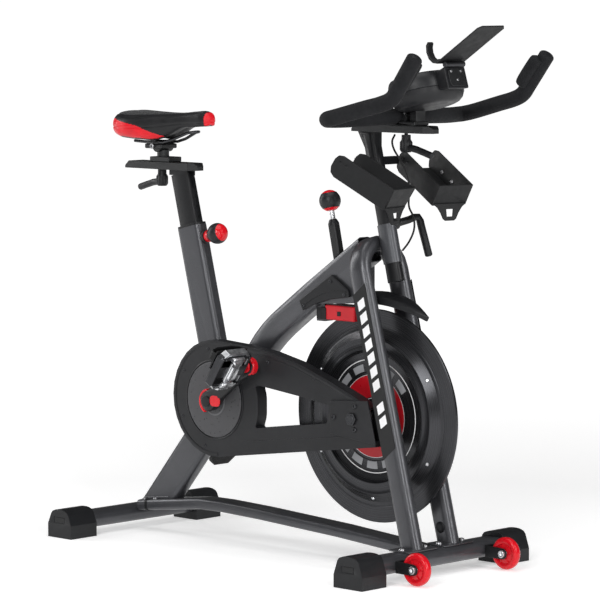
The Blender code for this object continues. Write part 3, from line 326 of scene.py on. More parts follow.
def cast_metal(name, colour):
    """Cast and tumbled metal: pitted, without a direction."""
    rough = 0.34
    s = Shader(name, colour, rough, 1.0)
    s.mottle(60.0, 0.12)
    s.rough(rough - 0.08, rough + 0.12, 160.0)
    s.bump(s.noise(900.0, 3.0), 0.22, 0.0003)
    return s.material


def turned_steel(name, colour, rough):
    """Blackened steel with fine turning rings about the flywheel's axle."""
    s = Shader(name, colour, rough, 0.75, Anisotropic=0.3, Coat_Weight=0.12, Coat_Roughness=0.3)
    split = s.node("ShaderNodeSeparateXYZ")
    s.link(s.where, split.inputs[0])
    x = s.math("SUBTRACT", split.outputs["X"], AXLE[0])
    z = s.math("SUBTRACT", split.outputs["Z"], AXLE[1])
    radius = s.math("SQRT", s.math("ADD", s.math("MULTIPLY", x, x), s.math("MULTIPLY", z, z)))
    rings = s.node("ShaderNodeTexNoise", noise_dimensions="1D")
    rings.inputs["Scale"].default_value = 900.0
    rings.inputs["Detail"].default_value = 4.0
    s.link(radius, rings.inputs["W"])
    slow = s.spread(s.noise(9.0, 3.0), 0.0, 1.0)
    s.paint(s.mix(slow, tuple(c * 0.85 for c in colour), tuple(c * 1.2 for c in colour)))
    s.link(s.spread(rings.outputs["Fac"], rough - 0.06, rough + 0.10), s.main.inputs["Roughness"])
    s.bump(rings.outputs["Fac"], 0.16, 0.0002)
    return s.material


def foam(name, colour):
    """Closed-cell grip foam: matt, with fine pores and a soft bloom."""
    s = Shader(name, colour, 0.78, 0.0, Sheen_Weight=0.02, Sheen_Roughness=0.5, Specular_IOR_Level=0.14)
    s.mottle(26.0, 0.16)
    s.rough(0.70, 0.86, 120.0)
    s.bump(s.cells(1100.0), 0.28, 0.0005)
    s.bump(s.noise(90.0, 3.0), 0.12, 0.0008)
    return s.material


def vinyl(name, colour, rough, scale=620.0):
    """Saddle vinyl: pebbled leather grain with finer wrinkles between."""
    s = Shader(name, colour, rough, 0.0, Specular_IOR_Level=PLASTIC_SPECULAR)
    s.mottle(30.0, 0.12)
    s.rough(rough - 0.07, rough + 0.09, 110.0)
    s.bump(s.cells(scale, "Distance", "F1"), 0.34, 0.0005)
    s.bump(s.noise(1900.0, 3.0, 0.6), 0.12, 0.0002)
    return s.material


def perforated(name, colour):
    """Microfibre punched with rows of small round holes, painted near-black inside as painted shade."""
    s = Shader(name, colour, 0.72, 0.0, Sheen_Weight=0.10, Sheen_Roughness=0.45)
    split = s.node("ShaderNodeSeparateXYZ")
    s.link(s.where, split.inputs[0])
    pitch = 0.0058

    def cell(value, shift):
        moved = s.math("ADD", s.math("DIVIDE", value, pitch), shift)
        return s.math("SUBTRACT", s.math("FRACT", moved), 0.5)

    def dots(shift):
        x, y = cell(split.outputs["X"], shift), cell(split.outputs["Y"], shift)
        away = s.math("SQRT", s.math("ADD", s.math("MULTIPLY", x, x), s.math("MULTIPLY", y, y)))
        return s.spread(away, 0.0, 1.0, 0.17, 0.25)

    # the holes are painted near-black: painted shade inside them
    solid = s.math("MULTIPLY", dots(100.0), dots(100.5))
    s.paint(s.mix(solid, tuple(c * 0.12 for c in colour), colour))
    s.rough(0.64, 0.80, 240.0)
    s.bump(s.noise(1600.0, 3.0, 0.7), 0.22, 0.0003)
    s.bump(solid, 0.9, 0.0009)
    return s.material


def pitted_with_shade(name, colour):
    """The disc over the crank: moulded plastic with scattered small pits, painted darker inside as painted
    shade.
    """
    s = Shader(name, colour, 0.50, 0.0, Specular_IOR_Level=PLASTIC_SPECULAR)
    pits = s.spread(s.cells(105.0), 0.0, 1.0, 0.10, 0.20)
    # the pits are painted darker: painted shade in their hollows
    s.paint(s.mix(pits, tuple(c * 0.35 for c in colour), colour))
    s.rough(0.44, 0.58, 70.0)
    s.bump(s.noise(1300.0, 3.0, 0.6), 0.22, 0.0003)
    s.bump(pits, 0.7, 0.0006)
    return s.material


def glossy(name, colour, rough=0.22):
    """Smooth gloss plastic or print, with a thin clear skin."""
    s = Shader(name, colour, rough, 0.0, Coat_Weight=0.12, Coat_Roughness=0.12,
               Specular_IOR_Level=PLASTIC_SPECULAR)
    s.mottle(20.0, 0.06)
    s.rough(rough - 0.04, rough + 0.07, 55.0)
    s.bump(s.noise(260.0, 2.0), 0.06, 0.0004)
    return s.material


MAT = {}


def make_materials():
    MAT["frame"] = metallic_paint("paint_charcoal", (0.056, 0.057, 0.063), 0.34, 0.50)
    MAT["head"] = metallic_paint("paint_grey", (0.052, 0.054, 0.060), 0.38, 0.45)
    MAT["post"] = metallic_paint("paint_black", (0.0060, 0.0062, 0.0072), 0.36, 0.10, 0.04, 0.22)
    MAT["guard"] = moulded("plastic_guard", (0.0125, 0.0128, 0.0145), 0.43, 0.16, 1900.0)
    MAT["disc"] = pitted_with_shade("plastic_disc", (0.064, 0.064, 0.068))
    MAT["plastic"] = moulded("plastic_black", (0.0072, 0.0075, 0.0088), 0.44)
    MAT["cap"] = moulded("plastic_cap", (0.012, 0.0125, 0.014), 0.40)
    MAT["soft_black"] = moulded("plastic_soft", (0.0075, 0.0078, 0.0085), 0.58, 0.3, 1100.0)
    MAT["steel"] = powder_coat("steel_powder", (0.010, 0.0105, 0.0115), 0.42)
    MAT["red"] = glossy("plastic_red", (0.62, 0.006, 0.014))
    MAT["red_paint"] = glossy("paint_red", (0.50, 0.008, 0.016), 0.30)
    MAT["silver"] = bare_metal("metal_silver", (0.72, 0.73, 0.75))
    MAT["cast"] = cast_metal("metal_cast", (0.60, 0.61, 0.63))
    MAT["bolt"] = bare_metal("metal_bolt", (0.30, 0.30, 0.31), 0.32)
    MAT["dark_bolt"] = bare_metal("metal_dark", (0.055, 0.056, 0.060), 0.36)
    MAT["fly"] = turned_steel("steel_turned", (0.034, 0.0345, 0.038), 0.24)
    MAT["white"] = moulded("print_white", (0.75, 0.75, 0.76), 0.45, 0.05)
    MAT["grey_print"] = moulded("print_grey", (0.28, 0.285, 0.30), 0.45, 0.05)
    # near-black gloss for printed fields and badges, also used as painted shade in holes and grooves
    MAT["decal"] = glossy("print_and_shade_black", (0.0035, 0.0038, 0.0045), 0.32)
    MAT["foam"] = foam("foam_grip", (0.0085, 0.0088, 0.0100))
    MAT["saddle_black"] = vinyl("vinyl_black", (0.010, 0.010, 0.011), 0.42)
    MAT["saddle_red"] = vinyl("vinyl_red", (0.60, 0.006, 0.014), 0.36, 700.0)
    MAT["saddle_mid"] = perforated("microfibre", (0.013, 0.0135, 0.015))
    MAT["rubber"] = moulded("rubber_black", (0.008, 0.008, 0.0085), 0.62, 0.3, 900.0)
    MAT["screen"] = glossy("console_lens", (0.004, 0.004, 0.005), 0.12)
    MAT["grey_plastic"] = moulded("plastic_grey", (0.12, 0.122, 0.128), 0.46)


# ---------------------------------------------------------------- mesh helpers
WELD, FLAT_ANGLE = 2e-6, math.radians(0.6)


def piece(name, bm, materials, body=None, smooth=35.0, bevel=0.0, segments=2, recalc=True):
    """Turns a bmesh into a shown piece that rides on a CAD body."""
    if recalc:
        bmesh.ops.recalc_face_normals(bm, faces=bm.faces)
    mesh = bpy.data.meshes.new(name)
    bm.to_mesh(mesh)
    bm.free()
    for key in materials if isinstance(materials, (list, tuple)) else [materials]:
        mesh.materials.append(MAT[key])
    mesh.shade_smooth()
    mesh.set_sharp_from_angle(angle=math.radians(smooth))
    obj = bpy.data.objects.new(name, mesh)
    bpy.context.scene.collection.objects.link(obj)
    if bevel:
        round_edges(obj, bevel, segments, smooth)
    if body:
        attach(obj, body)
    return obj


def round_edges(obj, width, segments, angle):
    made = obj.modifiers.new("edges", "BEVEL")
    made.width, made.segments = width, segments
    made.limit_method, made.angle_limit = "ANGLE", math.radians(angle)
    made.harden_normals = True
    made.use_clamp_overlap = True
    made.miter_outer = "MITER_ARC"


def dressed(node, material, bevel, segments=2, smooth=35.0):
    """A copy of a CAD node with welded corners, rounded edges and a finished material, shown in its place."""
    source = NODES[node]
    bm = bmesh.new()
    bm.from_mesh(source.data)
    bmesh.ops.remove_doubles(bm, verts=bm.verts, dist=WELD)
    for layer in list(bm.loops.layers.uv):
        bm.loops.layers.uv.remove(layer)
    bmesh.ops.dissolve_limit(bm, angle_limit=FLAT_ANGLE, verts=bm.verts, edges=bm.edges,
                             delimit={"NORMAL"})
    obj = piece(f"{node}_skin", bm, material, source["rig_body"], smooth, bevel, segments, recalc=False)
    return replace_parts(obj, node)


def circle(radius, count):
    """Points round a circle in a plane."""
    return [(radius * math.cos(2 * math.pi * i / count), radius * math.sin(2 * math.pi * i / count))
            for i in range(count)]


def lathe_into(bm, profile, centre, axis, steps=48):
    """Adds a closed turned profile of (radius, height) points about an axis."""
    turn = Vector(axis).to_track_quat("Z", "Y").to_matrix().to_4x4()
    place = Matrix.Translation(centre) @ turn
    rings = []
    for radius, height in profile:
        if radius < 1e-6:
            rings.append([bm.verts.new(place @ Vector((0, 0, height)))])
        else:
            rings.append([bm.verts.new(place @ Vector((x, y, height))) for x, y in circle(radius, steps)])
    for a, b in zip(rings, rings[1:] + rings[:1]):
        if len(a) == 1 and len(b) == 1:
            continue
        for j in range(steps):
            k = (j + 1) % steps
            corners = [a[j % len(a)], a[k % len(a)], b[k % len(b)], b[j % len(b)]]
            bm.faces.new(list(dict.fromkeys(corners)))
    return bm


def lathe(name, profile, centre, axis, material, body, steps=48, **options):
    return piece(name, lathe_into(bmesh.new(), profile, centre, axis, steps), material, body, **options)


def second_material_past(bm, centre, axis, low, high):
    """Gives the second material to the faces below and above two levels along an axis."""
    for face in bm.faces:
        height = (face.calc_center_median() - centre).dot(axis)
        face.material_index = 1 if height > high or height < low else 0


def mirrored(profile):
    """A half profile followed by its mirror image, from the other end back."""
    return [*profile, *((radius, -height) for radius, height in reversed(profile))]


def arc(radius, start, stop, count):
    """(radius·sin, −radius·cos) points of a round profile between two angles in degrees."""
    return [(radius * math.sin(a), -radius * math.cos(a))
            for a in (math.radians(start + (stop - start) * i / count) for i in range(count + 1))]


def prism_into(bm, outline, low, high, plane="XZ", holes=()):
    """Adds a flat outline, less its holes, drawn out between two levels across its plane."""
    def place(a, b, c):
        return (a, c, b) if plane == "XZ" else (a, b, c) if plane == "XY" else (c, a, b)

    edges = []
    for loop in (outline, *holes):
        verts = [bm.verts.new(place(a, b, low)) for a, b in loop]
        edges += [bm.edges.new((verts[i], verts[(i + 1) % len(verts)])) for i in range(len(verts))]
    made = bmesh.ops.triangle_fill(bm, use_beauty=True, use_dissolve=False, edges=edges)["geom"]
    faces = [f for f in made if isinstance(f, bmesh.types.BMFace)]
    moved = bmesh.ops.extrude_face_region(bm, geom=faces, use_keep_orig=True)["geom"]
    shift = Vector(place(0, 0, high - low))
    bmesh.ops.translate(bm, vec=shift, verts=[v for v in moved if isinstance(v, bmesh.types.BMVert)])
    return bm


def smooth_points(points, per_span):
    """Points along a smooth curve through the given ones."""
    points = [Vector(p) for p in points]
    padded = [2 * points[0] - points[1], *points, 2 * points[-1] - points[-2]]
    result = []
    for i in range(len(points) - 1):
        p0, p1, p2, p3 = padded[i:i + 4]
        for step in range(per_span):
            t = step / per_span
            result.append(0.5 * ((2 * p1) + (p2 - p0) * t + (2 * p0 - 5 * p1 + 4 * p2 - p3) * t ** 2
                                 + (3 * p1 - p0 - 3 * p2 + p3) * t ** 3))
    result.append(points[-1])
    return result


def tube_into(bm, points, radii, steps):
    """Adds a closed round tube along points, with one radius or one for each point."""
    points = [Vector(p) for p in points]
    if isinstance(radii, (int, float)):
        radii = [radii] * len(points)
    across = (points[1] - points[0]).orthogonal().normalized()
    rings = []
    for i, point in enumerate(points):
        tangent = (points[min(i + 1, len(points) - 1)] - points[max(i - 1, 0)]).normalized()
        across = (across - tangent * across.dot(tangent)).normalized()
        third = tangent.cross(across)
        rings.append([bm.verts.new(point + across * x + third * y) for x, y in circle(radii[i], steps)])
    for a, b in zip(rings, rings[1:]):
        for j in range(steps):
            k = (j + 1) % steps
            bm.faces.new((a[j], a[k], b[k], b[j]))
    bm.faces.new(rings[0])
    bm.faces.new(rings[-1])
    return bm


def loft_into(bm, rings):
    """Adds a closed skin over rings of points, with a flat cap at each end."""
    made = [[bm.verts.new(p) for p in ring] for ring in rings]
    count = len(made[0])
    for a, b in zip(made, made[1:]):
        for j in range(count):
            k = (j + 1) % count
            bm.faces.new((a[j], a[k], b[k], b[j]))
    bm.faces.new(made[0])
    bm.faces.new(made[-1])
    return bm


def rounded(depth, width, radius, steps=5):
    """A rectangle with round corners."""
    points = []
    for corner in range(4):
        cx = (depth / 2 - radius) * (1, -1, -1, 1)[corner]
        cy = (width / 2 - radius) * (1, 1, -1, -1)[corner]
        for i in range(steps + 1):
            a = math.pi / 2 * (corner + i / steps)
            points.append((cx + radius * math.cos(a), cy + radius * math.sin(a)))
    return points


def slab_into(bm, place, size, radius, thick):
    """A thin rounded plate: place is a matrix whose Z is the plate's normal."""
    outline = rounded(*size, radius, 4)
    rings = []
    for scale, height in ((1.0, 0.0), (1.0, thick * 0.6), (0.985, thick)):
        rings.append([place @ Vector((x * scale, y * scale, height)) for x, y in outline])
    return loft_into(bm, rings)


BOLT_HEADS = {
    # (share of the radius, share of the height), from the socket's floor to the rim
    "button": ((0.40, 0.45), (0.42, 1.0), (0.70, 0.95), (0.92, 0.55), (1.0, 0.0)),
    "cap": ((0.50, 0.35), (0.52, 0.96), (0.60, 1.0), (0.92, 1.0), (1.0, 0.88), (1.0, 0.0)),
}


def bolt_into(bm, place, radius, height, kind="button"):
    """A screw head with a hexagon socket: place is a matrix whose Z points out of the surface."""
    steps = 24
    rings = []
    for k, (radial, level) in enumerate((a * radius, height * b) for a, b in BOLT_HEADS[kind]):
        sides = []
        for i in range(steps):
            a = 2 * math.pi * i / steps
            local = radial
            if k < 2:
                sector = (a % (math.pi / 3)) - math.pi / 6
                local = radial * math.cos(math.pi / 6) / math.cos(sector) * 1.08
            sides.append(bm.verts.new(place @ Vector((local * math.cos(a), local * math.sin(a), level))))
        rings.append(sides)
    for a, b in zip(rings, rings[1:]):
        for j in range(steps):
            n = (j + 1) % steps
            bm.faces.new((a[j], a[n], b[n], b[j]))
    bm.faces.new(rings[0])
    bm.faces.new(rings[-1])
    return bm


def facing(point, normal):
    """A matrix at a point whose Z is the normal."""
    turn = Vector(normal).to_track_quat("Z", "Y").to_matrix().to_4x4()
    return Matrix.Translation(Vector(point)) @ turn


def bolts(name, body, material, places, radius, height):
    bm = bmesh.new()
    for point, normal in places:
        bolt_into(bm, facing(point, normal), radius, height)
    return piece(name, bm, material, body, smooth=40)


def post_point(top, z):
    """A point at a height on the centre line of the post or tube whose top is given."""
    return Vector((top[0] + (top[1] - z) * math.tan(LEAN), 0, z))


def fork_x(z):
    """Where the fork legs' centre line is at a height."""
    return FORK_FOOT[0] - (z - FORK_FOOT[1]) * FORK_SLOPE


# ---------------------------------------------------------------- base
def base_tube_z(x):
    """Height of the sloping base tube's centre line."""
    return 0.0560 + (x + 0.4915) * (0.0240 / 0.2015)


def base_pieces():
    for end in ("front", "rear"):
        dressed(f"{end}_stabiliser", "frame", 0.0006)
        for side in SIDES:
            dressed(f"{end}_foot_{side}", "cap", 0.0016, 3)
    dressed("base_tube", "frame", 0.0006)

    bm = bmesh.new()
    for x, half in ((0.4030, 0.2700), (-0.5255, 0.2400)):
        for sign in SIDES.values():
            face = facing((x, sign * (half - 0.0011), 0.041), (0, sign, 0))
            slab_into(bm, face, (0.0330, 0.0118), 0.0022, 0.0008)
    piece("foot_badges", bm, "decal", "frame")

    bm = bmesh.new()
    outline = rounded(0.058, 0.100, 0.008)
    for sign in SIDES.values():
        rings = [[(0.3975 + a * s, sign * LEG_Y + b * s, z) for a, b in outline]
                 for s, z in ((1.0, 0.0581), (1.0, 0.0606), (0.985, 0.0612))]
        loft_into(bm, rings)
    piece("fork_foot_plates", bm, "frame", "frame", bevel=0.0004)
    places = [((0.398, y, 0.0612), (0, 0, 1)) for y in (-0.0960, -0.0230, 0.0230, 0.0960)]
    bolts("fork_foot_bolts", "frame", "bolt", places, 0.0072, 0.0045)

    outline = rounded(0.0272, 0.0584, 0.0080)
    start, stop, lip = -0.4670, -0.4590, 0.001
    rings = []
    for x, grow in ((start, 0.98), (start + lip, 1.0), (stop - lip, 1.0), (stop, 0.98)):
        rings.append([(x - a * 0.12, b * grow, base_tube_z(x) + a * grow) for a, b in outline])
    piece("base_sleeve_ring", loft_into(bmesh.new(), rings), "plastic", "frame", bevel=0.0005)
    places = [((x, y, base_tube_z(x) + 0.0126), (-0.118, 0, 0.993))
              for x, half in ((-0.4770, 0.0180), (-0.4380, 0.0200)) for y in (-half, half)]
    bolts("base_tube_bolts", "frame", "bolt", places, 0.0060, 0.0038)


def wheel_pieces():
    tyre = mirrored([(0.0242, -0.0086), (0.0262, -0.0096), (0.0300, -0.0095), (0.0330, -0.0080),
                     (0.0348, -0.0048), (0.0352, -0.0015)])
    hub = mirrored([(0.0053, -0.0086), (0.0090, -0.0090), (0.0100, -0.0078), (0.0215, -0.0058),
                    (0.0225, -0.0078), (0.0241, -0.0082)])
    spokes, spoke_half_width = 6, 0.0080
    for side, sign in SIDES.items():
        centre = (0.4850, sign * 0.1440, 0.0362)
        body = f"wheel_{side}"
        made = lathe(f"wheel_tyre_{side}", tyre, centre, (0, 1, 0), "red", body, 64)
        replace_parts(made, f"transport_wheel_{side}")
        bm = lathe_into(bmesh.new(), hub, centre, (0, 1, 0))
        for i in range(spokes):
            a = 2 * math.pi * i / spokes
            along = Vector((math.cos(a), 0, math.sin(a)))
            across = Vector((-math.sin(a), 0, math.cos(a)))
            rings = []
            for r, w in ((0.0090, 0.0018), (0.0220, 0.0012)):
                middle = Vector(centre) + along * r
                rings.append([middle + across * (w * u) + Vector((0, spoke_half_width * v, 0))
                              for u, v in ((-1, -1), (1, -1), (1, 1), (-1, 1))])
            loft_into(bm, rings)
        piece(f"wheel_hub_{side}", bm, "red", body)
        dressed(f"wheel_bracket_{side}", "steel", 0.0010, 3)
        bm = bmesh.new()
        for face in (-1, 1):
            place = facing((centre[0], centre[1] + face * 0.0139, centre[2]), (0, face, 0))
            bolt_into(bm, place, 0.0082, 0.0050, "cap")
        piece(f"wheel_bolts_{side}", bm, "silver", "frame", smooth=40)


# ---------------------------------------------------------------- frame
def frame_pieces():
    dressed("main_tube", "frame", 0.0007, 2, 40)
    dressed("seat_tube", "frame", 0.0006)
    dressed("rear_strut", "frame", 0.0006)
    dressed("fork_hoop", "frame", 0.0006, 2, 40)
    dressed("head_tube", "head", 0.0006, 2, 40)
    dressed("bottom_bracket_shell", "frame", 0.0008)
    dressed("seat_tube_collar", "plastic", 0.0006)
    leg_prints()

    bm = bmesh.new()
    plug = [(0.0, 0.0), (0.0125, 0.0), (0.0125, 0.0012), (0.0105, 0.0026), (0.0060, 0.0030), (0.0, 0.0030)]
    for sign in SIDES.values():
        lathe_into(bm, plug, (fork_x(0.0935), sign * 0.0418, 0.0935), (0, -sign, 0), 36)
    piece("leg_plugs", bm, "plastic", "frame")

    bm = bmesh.new()
    for z in (0.2900, 0.2400):
        middle = post_point(SEAT_TOP, z)
        for sign in SIDES.values():
            lathe_into(bm, plug, (middle.x, sign * 0.0178, z), (0, sign, 0), 30)
    piece("seat_tube_plugs", bm, "plastic", "frame")
    weld_beads()


def leg_point(z, across, sign, proud):
    """A point on a fork leg's outer face: across runs from -1 at its rear edge to 1 at its front edge."""
    lean = math.atan(FORK_SLOPE)
    return Vector((fork_x(z) + across * LEG_HALF * math.cos(lean), sign * (LEG_Y + LEG_OUT + proud),
                   z + across * LEG_HALF * math.sin(lean)))


def plate_into(bm, top, under):
    """A thin closed plate between two grids of points, each with two points to a row."""
    top = [[bm.verts.new(p) for p in row] for row in top]
    under = [[bm.verts.new(p) for p in row] for row in under]
    for grid in (top, under):
        for a, b in zip(grid, grid[1:]):
            bm.faces.new((a[0], a[1], b[1], b[0]))
    for k in (0, 1):
        for i in range(len(top) - 1):
            bm.faces.new((top[i][k], top[i + 1][k], under[i + 1][k], under[i][k]))
    for end in (0, -1):
        bm.faces.new((top[end][0], top[end][1], under[end][1], under[end][0]))


def print_patch(bm, sign, low, high, half, slant, proud):
    """A printed patch on a leg's outer face, between two heights, with slanted ends."""
    count, film = 10, 0.00015
    rows = [[(low + (high - low) * i / count + slant * (across + half), across) for across in (-half, half)]
            for i in range(count + 1)]
    plate_into(bm, *([[leg_point(z, a, sign, level) for z, a in row] for row in rows]
                     for level in (proud, proud - film)))


def leg_prints():
    """Printed panel on the outer face of each fork leg: a black field with plain slanted bars."""
    field = bmesh.new()
    bars = bmesh.new()
    bar_places, gap_after, gap = 10, 7, 0.020
    height, pitch = 0.0195, 0.0285
    for sign in SIDES.values():
        print_patch(field, sign, 0.250, 0.598, 0.80, 0.012, 0.0002)
        start = 0.582
        for i in range(bar_places):
            if i == gap_after:
                start -= gap
                continue
            print_patch(bars, sign, start - height, start, 0.40, 0.010, 0.00045)
            start -= pitch
    piece("leg_print_field", field, "decal", "frame")
    piece("leg_print_bars", bars, "white", "frame")


def bead_into(bm, points, radius, seed):
    """A weld bead: a rope of small overlapping ripples."""
    points = smooth_points(points, 6)
    radii = [radius * (1 + 0.16 * math.sin(i * 2.1) + 0.10 * noise.noise(Vector((seed, i * 0.7, 0))))
             for i in range(len(points))]
    return tube_into(bm, points, radii, 10)


def weld_beads():
    """Beads at the strut's two ends, at the base tube's front end and over the bottom bracket."""
    bm = bmesh.new()
    for sign in SIDES.values():
        bead_into(bm, [(-0.2610, sign * 0.0190, 0.3190), (-0.2450, sign * 0.0196, 0.2900),
                       (-0.2270, sign * 0.0192, 0.2620)], 0.0022, sign)
        bead_into(bm, [(-0.4700, sign * 0.0190, 0.0755), (-0.4350, sign * 0.0196, 0.0795),
                       (-0.3950, sign * 0.0190, 0.0840)], 0.0022, sign + 3)
        bead_into(bm, [(0.3660, sign * 0.0280, 0.0560), (0.3668, sign * 0.0284, 0.0450),
                       (0.3672, sign * 0.0280, 0.0360)], 0.0018, sign + 9)
    bead_into(bm, [(-0.2370, -0.0190, 0.3700), (-0.2390, -0.0150, 0.3850), (-0.2400, 0.0, 0.3900),
                   (-0.2390, 0.0150, 0.3850), (-0.2370, 0.0190, 0.3700)], 0.0018, 5)
    piece("weld_beads", bm, "frame", "frame", smooth=80)


# ---------------------------------------------------------------- flywheel
FILM = 0.0003


def flywheel_pieces():
    """The black disc with its red face, white lines, grey marks and screws, and its pulley and axle."""
    centre = Vector((AXLE[0], 0, AXLE[1]))
    profile = [(0.0103, -0.0300), (0.0290, -0.0300), (0.0304, -0.0286), (0.0304, -0.0102), (0.0330, -0.0094),
               (0.0960, -0.0102), (0.0975, -0.0112), (0.1390, -0.0120), (0.1400, -0.0124), (0.1448, -0.0172),
               (0.1462, -0.0180), (0.1500, -0.0180), (0.1510, -0.0176), (0.1675, -0.0176), (0.1685, -0.0180),
               (0.1700, -0.0179), (0.1880, -0.0043), (0.1895, -0.0036), (0.1960, -0.0035), (0.1968, -0.0030),
               (0.1985, -0.0030), (0.1993, -0.0035), (0.2318, -0.0035), (0.2331, -0.0024)]
    wheel = lathe("flywheel_disc", mirrored(profile), centre, (0, 1, 0), "fly", "flywheel", 160, smooth=28)
    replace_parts(wheel, "flywheel")

    red = bmesh.new()
    lines = bmesh.new()
    marks = bmesh.new()
    for sign in SIDES.values():
        lathe_into(red, [(0.0420, 0.0098), (0.0895, 0.0104), (0.0895, 0.0107), (0.0420, 0.0102)], centre,
                   (0, sign, 0), 96)
        for low, high, level in ((0.0898, 0.0908, 0.0103), (0.1228, 0.1246, 0.0117),
                                 (0.0385, 0.0398, 0.0098)):
            band = [(low, level), (high, level), (high, level + FILM), (low, level + FILM)]
            lathe_into(lines, band, centre, (0, sign, 0), 120)
        for first in (33, 213):
            for start in range(first, first + 5 * 24, 24):
                arc_mark(marks, centre, sign, math.radians(start), math.radians(start + 16))
    piece("flywheel_inlay", red, "red_paint", "flywheel")
    piece("flywheel_lines", lines, "white", "flywheel")
    piece("flywheel_marks", marks, "grey_print", "flywheel")

    screw_radius = 0.1805
    places = []
    for sign in SIDES.values():
        for degrees in range(30, 390, 60):
            c, d = math.cos(math.radians(degrees)), math.sin(math.radians(degrees))
            places.append(((AXLE[0] + screw_radius * c, sign * 0.0102, AXLE[1] + screw_radius * d),
                           (0.607 * c, sign * 0.795, 0.607 * d)))
    bolts("flywheel_screws", "flywheel", "silver", places, 0.0042, 0.0024)
    dressed("flywheel_pulley", "silver", 0.0004)
    axle = [(0.0, -0.0860), (0.0080, -0.0860), (0.0092, -0.0850), (0.0100, -0.0840), (0.0100, 0.0740),
            (0.0092, 0.0752), (0.0080, 0.0760), (0.0, 0.0760)]
    made = lathe("axle_bar", axle, centre, (0, 1, 0), "dark_bolt", "frame", 32)
    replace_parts(made, "flywheel_axle")


def arc_mark(bm, centre, sign, start, stop):
    """A printed arc segment between two angles on the flywheel's face."""
    low, high, level, count = 0.0990, 0.1150, 0.0116, 6

    def at(r, a, y):
        return centre + Vector((r * math.cos(a), sign * y, r * math.sin(a)))

    angles = [start + (stop - start) * i / count for i in range(count + 1)]
    plate_into(bm, *([[at(r, a, y) for r in (low, high)] for a in angles] for y in (level + FILM, level)))


# ---------------------------------------------------------------- guard and drive
GUARD_TOP = [(0.3000, 0.3450), (0.2516, 0.3700), (0.164, 0.4034), (0.0715, 0.4344), (-0.011, 0.4519),
             (-0.1005, 0.4614)]


def guard_line(inset):
    """The guard's rim, inset: from the fork along the top, round the crank and back along the lower edge."""
    r = GUARD_R - inset
    top = [Vector((x, z)) for x, z in GUARD_TOP]
    moved = []
    for i, p in enumerate(top):
        a, b = top[max(i - 1, 0)], top[min(i + 1, len(top) - 1)]
        t = (b - a).normalized()
        moved.append((p.x - inset * abs(t.y), p.y - inset * abs(t.x)))
    curve = [(GUARD_C[0] + r * math.cos(a), GUARD_C[1] + r * math.sin(a))
             for a in (math.radians(84 + 191 * i / 36) for i in range(37))]
    return [*moved, *curve, (0.3034, 0.271 + inset)]


def ribbon(name, line, y, thick, width, material, body):
    """A band of constant width along a line in the XZ plane, raised towards the rider's right."""
    bm = bmesh.new()
    line = [Vector((p[0], p[1])) for p in line]
    rings = []
    for i, p in enumerate(line):
        a, b = line[max(i - 1, 0)], line[min(i + 1, len(line) - 1)]
        t = (b - a).normalized()
        n = Vector((-t.y, t.x))
        ring = []
        for u, v in ((-1, 0), (-1, 0.7), (-0.8, 1), (0.8, 1), (1, 0.7), (1, 0)):
            q = p + n * (u * width / 2)
            ring.append((q.x, y - v * thick, q.y))
        rings.append(ring)
    loft_into(bm, rings)
    return piece(name, bm, material, body)


def guard_pieces():
    """The guard's shells and disc, the belt and pulley, the axle plates, and the screws and nuts on them."""
    dressed("belt_guard_outer", "guard", 0.0038, 4, 30)
    dressed("belt_guard_inner", "guard", 0.0006)
    dressed("guard_disc", "disc", 0.0008, 2)
    dressed("axle_plate_right", "guard", 0.0012, 3)
    dressed("axle_plate_left", "frame", 0.0008)
    dressed("drive_belt", "rubber", 0.0)
    dressed("drive_pulley", "steel", 0.0006)

    rim = [p for p in guard_line(0.0062) if p[0] < 0.272]
    ribbon("guard_rim", rim, GUARD_FACE, 0.0009, 0.0075, "guard", "frame")
    crease = [(0.262, 0.2925), (0.100, 0.2705), (-0.060, 0.2500), (-0.120, 0.2440)]
    ribbon("guard_crease_low", crease, GUARD_FACE, 0.0007, 0.0030, "guard", "frame")
    crease = [(0.236, 0.3660), (0.150, 0.3960), (0.060, 0.4240), (-0.020, 0.4395), (-0.080, 0.4460)]
    ribbon("guard_crease_high", crease, GUARD_FACE, 0.0007, 0.0026, "guard", "frame")

    ring = [(0.0870, 0.0), (0.0905, 0.0), (0.0902, 0.0012), (0.0888, 0.0018), (0.0872, 0.0012)]
    middle = (GUARD_C[0] + 0.002, GUARD_FACE, GUARD_C[1] - 0.002)
    lathe("guard_ring", ring, middle, (0, -1, 0), "guard", "frame", 96)
    places = [((x, -0.0800, z), (0, -1, 0))
              for x, z in ((0.2457, 0.3548), (0.2458, 0.3038), (0.1830, 0.3260))]
    bolts("axle_plate_bolts", "frame", "dark_bolt", places, 0.0058, 0.0036)
    nut = [(0.0102, 0.0), (0.0150, 0.0), (0.0150, 0.0060), (0.0138, 0.0072), (0.0102, 0.0072)]
    for name, y, sign in (("axle_nut", -0.0780, -1), ("axle_nut_left", 0.0612, 1)):
        lathe(name, nut, (AXLE[0], y, AXLE[1]), (0, sign, 0), "dark_bolt", "frame", 6, smooth=20,
              bevel=0.0006)

    screws = [(GUARD_C[0] + 0.112 * math.cos(a), GUARD_C[1] + 0.112 * math.sin(a))
              for a in map(math.radians, (100, 150, 205, 255))]
    screws += [(0.120, 0.4050), (-0.020, 0.4300)]
    places = [((x, GUARD_FACE, z), (0, -1, 0)) for x, z in screws]
    bolts("guard_screws", "frame", "dark_bolt", places, 0.0036, 0.0018)


def pedal_point(side):
    """Where a crank arm's far end is, in the bike's middle plane."""
    reach = -SIDES[side] * CRANK_LENGTH
    return Vector((BB[0] + reach * math.cos(CRANK_ANGLE), 0, BB[1] + reach * math.sin(CRANK_ANGLE)))


